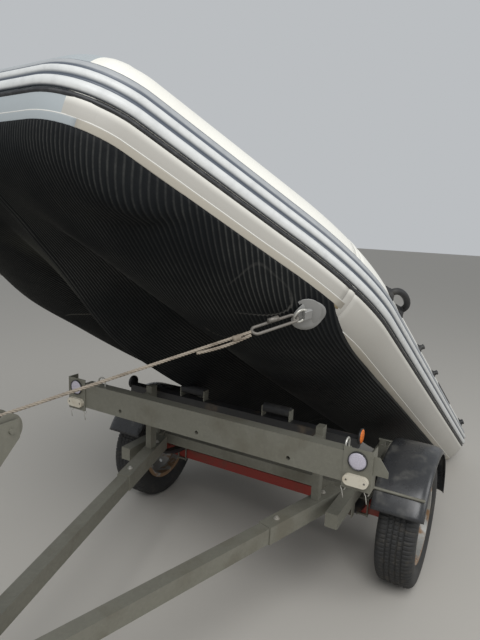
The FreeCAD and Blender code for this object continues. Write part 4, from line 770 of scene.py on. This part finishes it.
def bridge_beads(work):
    """Takes the two caps out of a turned tyre and joins the beads under it."""
    for cap in [f for f in work.faces if len(f.verts) > 4]:
        work.faces.remove(cap)
    work.edges.ensure_lookup_table()
    bmesh.ops.bridge_loops(work, edges=[e for e in work.edges if e.is_boundary])


for side in ("port", "starboard"):
    hub_at = hinge[side + "_wheel_spin"]
    tyre = lathe(side + "_tyre_skin", tyre_profile, hub_at, (1, 0, 0), tyre_rubber, TYRE_SIDES, tread)
    outside_out(tyre, bridge_beads)
    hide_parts(side + "_tyre")
    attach(tyre, side + "_wheel")

# The rims are pressed steel with silver paint, gone tan with rust along the flanges. Each holds
# the beads of its tyre and sits on its hub with four bolts.
rim_paint = Finish("silver_rim_paint")
flake = rim_paint.noise(700.0, 2.0)
wheel_y, wheel_z = hinge["port_wheel_spin"][1:3]
from_y, from_z = rim_paint.part("Y") - wheel_y, rim_paint.part("Z") - wheel_z
at_flange = ((from_y * from_y + from_z * from_z) ** 0.5).over(0.155, 0.168)
rusting = rim_paint.noise(16.0, 6.0) + at_flange * 0.14
rim_tint = rim_paint.mix(rusting.over(0.50, 0.62), (0.42, 0.42, 0.40), (0.25, 0.15, 0.08))
rim_paint.feed("Base Color", rim_tint)
rim_paint.feed("Metallic", 0.6 - rusting.over(0.5, 0.62) * 0.55)
rim_paint.feed("Roughness", rusting * 0.4 + flake * 0.1 + 0.2)
rim_paint.relief(rusting, 0.001, 0.5)
dress(rim_paint, "port_rim", "starboard_rim")

# The mudguards are moulded black plastic with a shine, scuffed and dusty on top. Each is one
# sheet with edges turned down, bent over its wheel and bolted to its stay.
guard_plastic = Finish("guard_plastic", IOR=1.5)
scuff = guard_plastic.noise(14.0, 6.0)
guard_tint = guard_plastic.mix(scuff.over(0.52, 0.75) * 0.5, (0.030, 0.031, 0.033), (0.15, 0.145, 0.13))
guard_plastic.feed("Base Color", guard_tint)
guard_plastic.feed("Roughness", scuff * 0.35 + 0.12)
guard_plastic.relief(guard_plastic.noise(3.5, 2.0) * 0.9 + guard_plastic.noise(250.0) * 0.04, 0.004, 0.6)
GUARD_SHEET, GUARD_INSIDE, SIDES = 0.003, 0.972, (("port", 1), ("starboard", -1))
GUARD_ANGLES = np.radians(np.linspace(2.0, 152.0, 61))
guard_outside = [(-0.107, 0.317), (-0.107, 0.330), (-0.104, 0.339), (-0.097, 0.3435), (-0.085, 0.345),
                 (-0.03, 0.345), (0.03, 0.345), (0.062, 0.3445), (0.080, 0.342), (0.093, 0.337),
                 (0.101, 0.330), (0.1055, 0.323), (0.107, 0.317)]
guard_section = guard_outside + [(x * GUARD_INSIDE, r - GUARD_SHEET) for x, r in reversed(guard_outside)]
for side, facing in SIDES:
    hub_at = np.array(hinge[side + "_wheel_spin"])
    rows = [[hub_at + (facing * x, r * math.cos(t), r * math.sin(t)) for x, r in guard_section]
            for t in GUARD_ANGLES]
    guard = wear(skin(side + "_mudguard_skin", rows, around=True, ends=True), guard_plastic)
    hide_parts(side + "_mudguard")
    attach(guard, "base")


# The front reflectors are round lenses with fine prisms behind, in a dark ring. The marker lamps
# are cream plastic ovals, each held by two screws. The rear lamps are red.
def prism_lens(name, scale, colour, shade, **numbers):
    """Clear plastic with fine prisms behind. The prisms come back too."""
    finish = Finish(name, IOR=1.49, **numbers)
    prisms = finish.cells(scale)
    finish.feed("Base Color", finish.mix(prisms.over(0.1, 0.7) * 0.5, colour, shade))
    finish.feed("Roughness", prisms * 0.2 + 0.12)
    finish.relief(prisms, 0.0012, 0.6)
    return finish, prisms


lens, prisms = prism_lens("reflector_lens", 420.0, (0.56, 0.53, 0.60), (0.30, 0.28, 0.34), Coat_Roughness=0.08)
lens.feed("Coat Weight", prisms * 0.2 + 0.6)
amber = prism_lens("amber_lens", 380.0, (0.80, 0.20, 0.015), (0.42, 0.07, 0.01))[0]
cream = painted("cream_lamp_plastic", (0.55, 0.51, 0.42), (0.40, 0.34, 0.25), 0.35, 240.0, 20.0)
red_lens = painted("red_lens", (0.30, 0.012, 0.010), (0.20, 0.02, 0.015), 0.25, 240.0, 25.0)
dress(red_lens, "rear_lamps")
dress(cream, "marker_lamps")


def node_box(node):
    """Lowest and highest corner of a CAD node."""
    low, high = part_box(node)
    return Vector(low), Vector(high)


REFLECTOR_R, REFLECTOR_T, RIM_T = 0.033, 0.007, 0.0025
low, high = node_box("front_reflectors")
reflector_z, reflector_back = (low.z + high.z) / 2, high.y
for side, x in (("port", high.x - REFLECTOR_R), ("starboard", low.x + REFLECTOR_R)):
    centre = Vector((x, reflector_back, reflector_z))
    glass = [(0, 0.001), (0, REFLECTOR_R - RIM_T), (0.0045, REFLECTOR_R - RIM_T),
             (0.0062, REFLECTOR_R - 0.008), (0.0068, REFLECTOR_R * 0.4), (0.0069, 0.001)]
    rim = [(0, REFLECTOR_R - RIM_T), (0, REFLECTOR_R), (0.0066, REFLECTOR_R),
           (REFLECTOR_T, REFLECTOR_R - 0.0008), (REFLECTOR_T, REFLECTOR_R - RIM_T + 0.0003),
           (0.004, REFLECTOR_R - RIM_T)]
    for kind, profile, finish in (("lens", glass, lens), ("rim", rim, black_plastic)):
        piece = lathe(side + "_front_reflector_" + kind, profile, centre, (0, -1, 0), finish, 64)
        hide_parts("front_reflectors")
        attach(piece, "base")

# Two dark steel screws with low domed heads hold each marker lamp, one near either end of its
# cream case.
LAMP_HALF, SCREW_OFF = 0.043, 0.031
screw_profile = [(-0.002, 0.0005), (-0.002, 0.0042), (0.0012, 0.0040), (0.0022, 0.002), (0.0012, 0.0004)]
low, high = node_box("marker_lamps")
for side, x in (("port", high.x - LAMP_HALF), ("starboard", low.x + LAMP_HALF)):
    for n, dx in enumerate((-SCREW_OFF, SCREW_OFF)):
        screw_at = (x + dx, low.y + 0.0015, (low.z + high.z) / 2)
        screw_name = side + "_marker_screw_" + str(n + 1)
        screw = lathe(screw_name, screw_profile, screw_at, (0, -1, 0), black_steel, 20)
        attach(screw, "base")

# An amber reflector stands on a steel plate at each end of the crossbar. It is a moulded lens with
# fine prisms behind, pressed into a round black holder.
AMBER_R, AMBER_RISE, AMBER_T, HOLDER_LIP, HOLDER_BACK = 0.028, 0.030, 0.008, 0.003, 0.0035
low, high = node_box("crossbar")
for side, end, facing in (("port", high.x, 1), ("starboard", low.x, -1)):
    foot = Vector((end + facing * HOLDER_BACK, (low.y + high.y) / 2, (low.z + high.z) / 2 + AMBER_RISE))
    holder = [(-HOLDER_LIP, 0.001), (-HOLDER_LIP, AMBER_R + HOLDER_LIP),
              (AMBER_T * 0.7, AMBER_R + HOLDER_LIP), (AMBER_T * 0.7, 0.001)]
    glass = [(AMBER_T * 0.7, 0.001), (AMBER_T * 0.7, AMBER_R), (AMBER_T, AMBER_R - HOLDER_LIP),
             (AMBER_T + 0.001, AMBER_R * 0.5), (AMBER_T + 0.0012, 0.001)]
    for kind, profile, finish in (("holder", holder, black_plastic), ("lens", glass, amber)):
        piece = lathe(side + "_side_reflector_" + kind, profile, foot, (facing, 0, 0), finish, 48)
        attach(piece, "base")


# The winch rope is laid of three light brown strands. It is spliced round the hook's eye, so its
# tail lies beside it for the first hand's breadth.
def wire(name, points, radius, finish, sides):
    """Round bar along a path of points."""
    path = np.asarray(points, float)
    ways = np.gradient(path, axis=0)
    ways /= np.linalg.norm(ways, axis=1, keepdims=True)
    normal = np.array(Vector(ways[0]).orthogonal().normalized())
    frames = []
    for way in ways:
        normal = normal - way * (normal @ way)
        normal /= np.linalg.norm(normal)
        frames.append((normal, np.cross(way, normal)))
    turn = np.arange(sides) * 2 * math.pi / sides
    rows = [ring(p, u, v, radius, turn) for p, (u, v) in zip(path, frames)]
    return wear(skin(name, rows, around=True, ends=True), finish)


rope_fibre = Finish("rope_fibre", IOR=1.5)
fibres = rope_fibre.noise(900.0, 2.0)
grime = rope_fibre.noise(18.0, 4.0)
rope_tint = rope_fibre.mix(grime.over(0.4, 0.7) * 0.8, (0.29, 0.25, 0.20), (0.15, 0.12, 0.09))
rope_fibre.feed("Base Color", rope_tint)
rope_fibre.feed("Roughness", fibres * 0.2 + 0.7)
rope_fibre.relief(fibres, 0.0006)
low, high = node_box("winch_rope")
ROPE_R, LAY, STRAND_OFF, STRAND_R, STEPS_A_LAY = 0.0048, 0.030, 0.52, 0.50, 10
rope_start = Vector((high.x - 0.004, high.y - 0.002, high.z - 0.004))
rope_end = Vector((low.x + 0.004, low.y + 0.001, low.z + 0.004))


def strands(name, start, end, bow=0.0):
    """Three strands laid round each other between two points, with a little slack."""
    run = end - start
    first = run.normalized().cross(Vector((0, 0, 1))).normalized()
    second = run.normalized().cross(first)
    count = int(run.length / LAY * STEPS_A_LAY)
    for k in range(3):
        points = []
        for n in range(count + 1):
            t = n / count
            turn = 2 * math.pi * (t * run.length / LAY + k / 3)
            sag = Vector((0, 0, -bow * math.sin(math.pi * t)))
            off = (first * math.cos(turn) + second * math.sin(turn)) * ROPE_R * STRAND_OFF
            points.append(start + run * t + sag + off)
        piece = wire(name + "_strand_" + str(k + 1), points, ROPE_R * STRAND_R, rope_fibre, 8)
        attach(piece, "base")
        if name == "rope":
            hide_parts("winch_rope")


strands("rope", rope_start, rope_end)
rope_way = (rope_end - rope_start).normalized()
TAIL_LENGTH, TAIL_DOWN, TAIL_SAG = 0.17, 0.009, 0.006
tail_start = rope_start + rope_way * 0.004 + Vector((0.004, 0, -0.008))
tail_end = rope_start + rope_way * TAIL_LENGTH + Vector((0, 0, -TAIL_DOWN))
strands("rope_tail", tail_start, tail_end, TAIL_SAG)

# The snap hook is zinc-plated wire, brown with rust, with a sleeve on its gate. Round the rope's
# eye sits a whipping of twine. The patch that holds its ring is a disc of the tube's fabric,
# scuffed, glued on over the edge of the bottom.
rusty_zinc = bare_metal("rusty_zinc", (0.20, 0.185, 0.165), (0.14, 0.062, 0.03), 0.5, 0.5)
patch_fabric = tube_fabric("patch_fabric", (0.27, 0.268, 0.26), (0.15, 0.14, 0.12))
dress(rusty_zinc, "tow_hook")
dress(patch_fabric, "tow_patches")
PATCH_ALONG, PATCH_DEGREES, PATCH_R, PATCH_SHEET, PATCH_CLEAR = 0.92, -54.0, 0.050, 0.0016, 0.0042
PATCH_RINGS = (0.001, 0.018, 0.034)
sky_way = np.array((0, 0, 1))
bow_corner, kink_corner = np.array((HALF_BOW, -SIDE - QUARTER, BOW_RISE)), np.array((HALF_SPACING, -SIDE, 0))
patch_middle = bow_corner * (1 - PATCH_ALONG) + kink_corner * PATCH_ALONG
quarter_way = np.array((HALF_SPACING - HALF_BOW, QUARTER, 0)) / math.hypot(HALF_SPACING - HALF_BOW, QUARTER)
quarter_out = np.array((quarter_way[1], -quarter_way[0], 0))
a = math.radians(PATCH_DEGREES)
patch_out = math.cos(a) * quarter_out + math.sin(a) * sky_way
patch_round = -math.sin(a) * quarter_out + math.cos(a) * sky_way
turn = np.arange(64) * 2 * math.pi / 64
patch_edge = [(PATCH_R, 0), (PATCH_R - 0.001, PATCH_SHEET)]
patch_rows = []
for r, lift in [(r, 0) for r in PATCH_RINGS] + patch_edge + [(r, PATCH_SHEET) for r in reversed(PATCH_RINGS)]:
    on_tube = ring(patch_middle + patch_out * (TUBE + lift), quarter_way, patch_round, r, turn)
    x, y, z = on_tube.T
    patch_rows.append(np.column_stack([x, y, np.minimum(z, floor_height(x, -y) - PATCH_CLEAR - lift)]))
for side, sign in SIDES:
    mirrored = afloat(np.array(patch_rows) * (sign, 1, 1))
    patch_skin = skin(side + "_tow_patch_skin", mirrored, around=True, ends=True)
    outside_out(wear(patch_skin, patch_fabric))
    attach(patch_skin, "base")
sleeve_profile = [(0, 0.004), (0, 0.0075), (0.034, 0.0075), (0.034, 0.004)]
sleeve_at = rope_start - rope_way * 0.055 + Vector((0, 0, 0.0155))
sleeve = lathe("hook_sleeve", sleeve_profile, sleeve_at, -rope_way, rusty_zinc, 24)
whipping_profile = [(0, 0.004), (0, 0.0085), (0.006, 0.0095), (0.012, 0.0085), (0.018, 0.0095),
                    (0.024, 0.0085), (0.024, 0.004)]
whipping_at = rope_start + rope_way * 0.035 + Vector((0, 0, -0.004))
whipping = lathe("rope_whipping", whipping_profile, whipping_at, rope_way, rope_fibre, 24)
for piece in (sleeve, whipping):
    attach(piece, "base")

# A small gusset of galvanised sheet is welded beside the port lamp plate, where the mudguard's
# stay starts, and two spring clips of bent wire hang from each plate's lower corners.
GUSSET_OUTLINE = ((0.0, -0.034), (0.050, -0.034), (0.050, -0.014), (0.018, 0.030), (0.0, 0.030))
GUSSET_SHEET, GUSSET_BACK, GUSSET_UP = 0.003, 0.012, 0.025
CLIP_WIRE, CLIP_RING, CLIP_INSETS, CLIP_LEG = 0.0016, 0.008, (0.012, 0.094), (0.002, 0.010)
low, high = node_box("lamp_plates")
middle_z = 0.5 * (low.z + high.z) + GUSSET_UP
gusset_rows = [[(high.x + x, low.y + GUSSET_BACK + depth, middle_z + z) for x, z in GUSSET_OUTLINE]
               for depth in (0, GUSSET_SHEET)]
gusset = wear(skin("stay_gusset", np.array(gusset_rows), around=True, ends=True), galvanised)
outside_out(gusset)
gusset.data.shade_flat()
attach(gusset, "base")
turn = np.linspace(-0.35 * math.pi, 1.35 * math.pi, 24)
for side, plate_x, facing in (("port", high.x, 1), ("starboard", low.x, -1)):
    for k, inset in enumerate(CLIP_INSETS):
        clip_x, clip_y, clip_z = plate_x - facing * inset, low.y + 0.004, low.z - 0.004
        loop = [(clip_x + CLIP_RING * math.cos(t), clip_y, clip_z + CLIP_RING * math.sin(t)) for t in turn]
        legs = [(loop[-1][0] + CLIP_LEG[0] * n, clip_y, loop[-1][2] - CLIP_LEG[1] * n) for n in (1, 2, 3)]
        clip = wire(side + "_spring_clip_" + str(k + 1), loop + legs, CLIP_WIRE, bright_zinc, 8)
        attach(clip, "base")


# Along each side tube the grab line's black moulded eyes are glued above the strake, with a black
# strap between two of them and a larger knob near the stern.
FITTINGS = (("fore_eye", 0.82, 1.0), ("aft_eye", 1.20, 1.0), ("stern_knob", 2.30, 1.5))
FITTING_DEGREES, STRAP, STRAP_DEGREES, STRAP_SHEET = 31.0, (1.36, 1.78), (28.0, 34.0), 0.004


def above_strake(sign, degrees, aft_of_kink):
    """Place on a side tube, at an angle round it and a distance aft of the kink, and the way out there."""
    a = math.radians(degrees)
    way = np.array((sign * math.cos(a), 0, math.sin(a)))
    return np.array((sign * HALF_SPACING, -SIDE + aft_of_kink, 0)) + way * (TUBE - 0.001), way


for side, sign in SIDES:
    for name, aft_of_kink, size in FITTINGS:
        foot, way = above_strake(sign, FITTING_DEGREES, aft_of_kink)
        base_shape = [(0, 0.001), (0, 0.021 * size), (0.004, 0.020 * size), (0.007, 0.013 * size),
                      (0.016, 0.010 * size), (0.022, 0.0125 * size), (0.026, 0.008 * size), (0.027, 0.001)]
        piece = lathe(side + "_" + name, base_shape, afloat(foot), way @ boat_axes, black_plastic, 32)
        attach(piece, "base")
    past_kink = (along - kink_at[(sign + 1) // 2]) * sign
    samples = np.where((past_kink > STRAP[0]) & (past_kink < STRAP[1]))[0]
    band(side + "_grab_strap", samples, *STRAP_DEGREES, STRAP_SHEET, black_plastic)

# The carry handles are moulded black rubber: a thick bow between two round feet, glued on above
# the strake by the fore seam of each side.
HANDLE_AFT, HANDLE_DEGREES, HANDLE_HALF, HANDLE_RISE, HANDLE_GRIP = 0.34, 34.0, 0.080, 0.046, 0.0125
foot_shape = [(0, 0.001), (0, 0.030), (0.004, 0.0295), (0.009, 0.020), (0.014, 0.015), (0.015, 0.001)]
s = np.linspace(0, 1, 33)
for side, sign in SIDES:
    middle, way = above_strake(sign, HANDLE_DEGREES, HANDLE_AFT)
    rise = (HANDLE_RISE * np.sin(math.pi * s) ** 0.55)[:, None] * way
    bow = middle - HANDLE_HALF * np.cos(math.pi * s)[:, None] * (0, 1, 0) + rise
    pieces = [wire(side + "_handle_bow", afloat(bow), HANDLE_GRIP, rubber, 20)]
    for k, end in enumerate((bow[0], bow[-1])):
        foot_name = side + "_handle_foot_" + str(k + 1)
        pieces.append(lathe(foot_name, foot_shape, afloat(end), way @ boat_axes, rubber, 40))
    for piece in pieces:
        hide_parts("carry_handles")
        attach(piece, "base")

# Zinc-plated hexagon bolts with washers hold the uprights, the drawbar's sleeves, the mudguards'
# stays and the wheels. They are all one pattern, set out on the places where the real ones sit.
BOLT_GROUP = bpy.data.node_groups.new("bolts_on_points", "GeometryNodeTree")
BOLT_GROUP.interface.new_socket("Places", in_out="INPUT", socket_type="NodeSocketGeometry")
across_input = BOLT_GROUP.interface.new_socket("Across Flats", in_out="INPUT", socket_type="NodeSocketFloat")
finish_input = BOLT_GROUP.interface.new_socket("Finish", in_out="INPUT", socket_type="NodeSocketMaterial")
BOLT_GROUP.interface.new_socket("Bolts", in_out="OUTPUT", socket_type="NodeSocketGeometry")


def group_node(kind, links, **settings):
    """A node of the bolts' group, with its inputs linked or set."""
    made = BOLT_GROUP.nodes.new(kind)
    for name, setting in settings.items():
        setattr(made, name, setting)
    for key, source in links.items():
        if isinstance(source, bpy.types.NodeSocket):
            BOLT_GROUP.links.new(source, made.inputs[key])
        else:
            made.inputs[key].default_value = source
    return made


def times(share):
    """A share of the bolt's width across its flats."""
    return group_node("ShaderNodeMath", {0: group_in.outputs[1], 1: share}, operation="MULTIPLY").outputs[0]


group_in, group_out = BOLT_GROUP.nodes.new("NodeGroupInput"), BOLT_GROUP.nodes.new("NodeGroupOutput")
joined = BOLT_GROUP.nodes.new("GeometryNodeJoinGeometry")
# Head, washer and shank: the number of sides, and shares of the width for radius, depth and height
for sides, radius, depth, height in ((6, 0.577, 0.5, 0.40), (20, 0.90, 0.16, 0.07), (12, 0.30, 0.80, 0.45)):
    sizes = {"Vertices": sides, "Radius": times(radius), "Depth": times(depth)}
    cylinder = group_node("GeometryNodeMeshCylinder", sizes)
    lift = group_node("ShaderNodeCombineXYZ", {"Z": times(height)})
    moves = {"Geometry": cylinder.outputs[0], "Translation": lift.outputs[0]}
    BOLT_GROUP.links.new(group_node("GeometryNodeTransform", moves).outputs[0], joined.inputs[0])
facing = group_node("GeometryNodeInputNamedAttribute", {"Name": "facing"}, data_type="FLOAT_VECTOR")
aligned = group_node("FunctionNodeAlignRotationToVector", {"Vector": facing.outputs["Attribute"]}, axis="Z")
spin = group_node("FunctionNodeRandomValue", {"Min": 0.0, "Max": 1.0, "Seed": 7}, data_type="FLOAT")
spin_value = next(o for o in spin.outputs if o.enabled)
twist = group_node("FunctionNodeAxisAngleToRotation", {"Axis": (0, 0, 1), "Angle": spin_value})
turns = {0: aligned.outputs[0], 1: twist.outputs[0]}
turned = group_node("FunctionNodeRotateRotation", turns, rotation_space="LOCAL")
on_points = {"Points": group_in.outputs[0], "Instance": joined.outputs[0], "Rotation": turned.outputs[0]}
placed = group_node("GeometryNodeInstanceOnPoints", on_points)
real = group_node("GeometryNodeRealizeInstances", {"Geometry": placed.outputs[0]})
coated = group_node("GeometryNodeSetMaterial", {"Geometry": real.outputs[0], "Material": group_in.outputs[2]})
BOLT_GROUP.links.new(coated.outputs[0], group_out.inputs[0])


def bolts(name, places, facings, across, body_name="base"):
    """One piece with a bolt at each place, whose head looks the given way."""
    mesh = bpy.data.meshes.new(name + "_places")
    mesh.from_pydata([tuple(p) for p in places], [], [])
    way = mesh.attributes.new("facing", "FLOAT_VECTOR", "POINT")
    way.data.foreach_set("vector", np.array([tuple(f) for f in facings], float).ravel())
    source = new_object(name + "_places", mesh)
    modifier = source.modifiers.new("bolts", "NODES")
    modifier.node_group = BOLT_GROUP
    modifier[across_input.identifier] = across
    modifier[finish_input.identifier] = bright_zinc.material
    evaluated = source.evaluated_get(bpy.context.evaluated_depsgraph_get())
    made = bpy.data.meshes.new_from_object(evaluated)
    source.modifiers.remove(modifier)
    bpy.data.objects.remove(source)
    made.name = name
    piece = new_object(name, made)
    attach(piece, body_name)


# Distances in from a node's edges, and for the sleeves their share of the way aft
UPRIGHT_IN, UPRIGHT_DOWN = 0.015, (0.02, 0.06)
SLEEVE_SHARES, SLEEVE_IN_FORE, SLEEVE_IN_AFT = (0.16, 0.80), 0.155, 0.035
STAY_IN, STAY_ENDS, STAY_DOWN = 0.299, 0.010, 0.030
places, facings = [], []
low, high = node_box("uprights")
for x in (high.x - UPRIGHT_IN, low.x + UPRIGHT_IN):
    for down in UPRIGHT_DOWN:
        places.append((x, low.y - 0.0002, high.z - down))
        facings.append((0, -1, 0))
low, high = node_box("drawbar_sleeves")
reach = high.x - axle_middle.x
for side in (1, -1):
    for share in SLEEVE_SHARES:
        x = axle_middle.x + side * ((reach - SLEEVE_IN_FORE) * (1 - share) + (reach - SLEEVE_IN_AFT) * share)
        places.append((x, low.y + (high.y - low.y) * share, high.z - 0.0005))
        facings.append((0, 0, 1))
low, high = node_box("mudguard_stays")
for side in (1, -1):
    for y in (low.y + STAY_ENDS, high.y - STAY_ENDS):
        places.append((axle_middle.x + side * (high.x - axle_middle.x - STAY_IN), y, high.z - STAY_DOWN))
        facings.append((0, 0, 1))
bolts("frame_bolts", places, facings, 0.013)
WHEEL_BOLT_OUT, WHEEL_BOLT_CIRCLE, WHEEL_BOLT_START = 0.0302, 0.049, 0.4
turns = [k * math.pi / 2 + WHEEL_BOLT_START for k in range(4)]
for side, facing in SIDES:
    hub_at = hinge[side + "_wheel_spin"]
    places = [hub_at + Vector((facing * WHEEL_BOLT_OUT, WHEEL_BOLT_CIRCLE * math.cos(t),
                               WHEEL_BOLT_CIRCLE * math.sin(t))) for t in turns]
    bolts(side + "_wheel_bolts", places, [(facing, 0, 0)] * 4, 0.019, side + "_wheel")
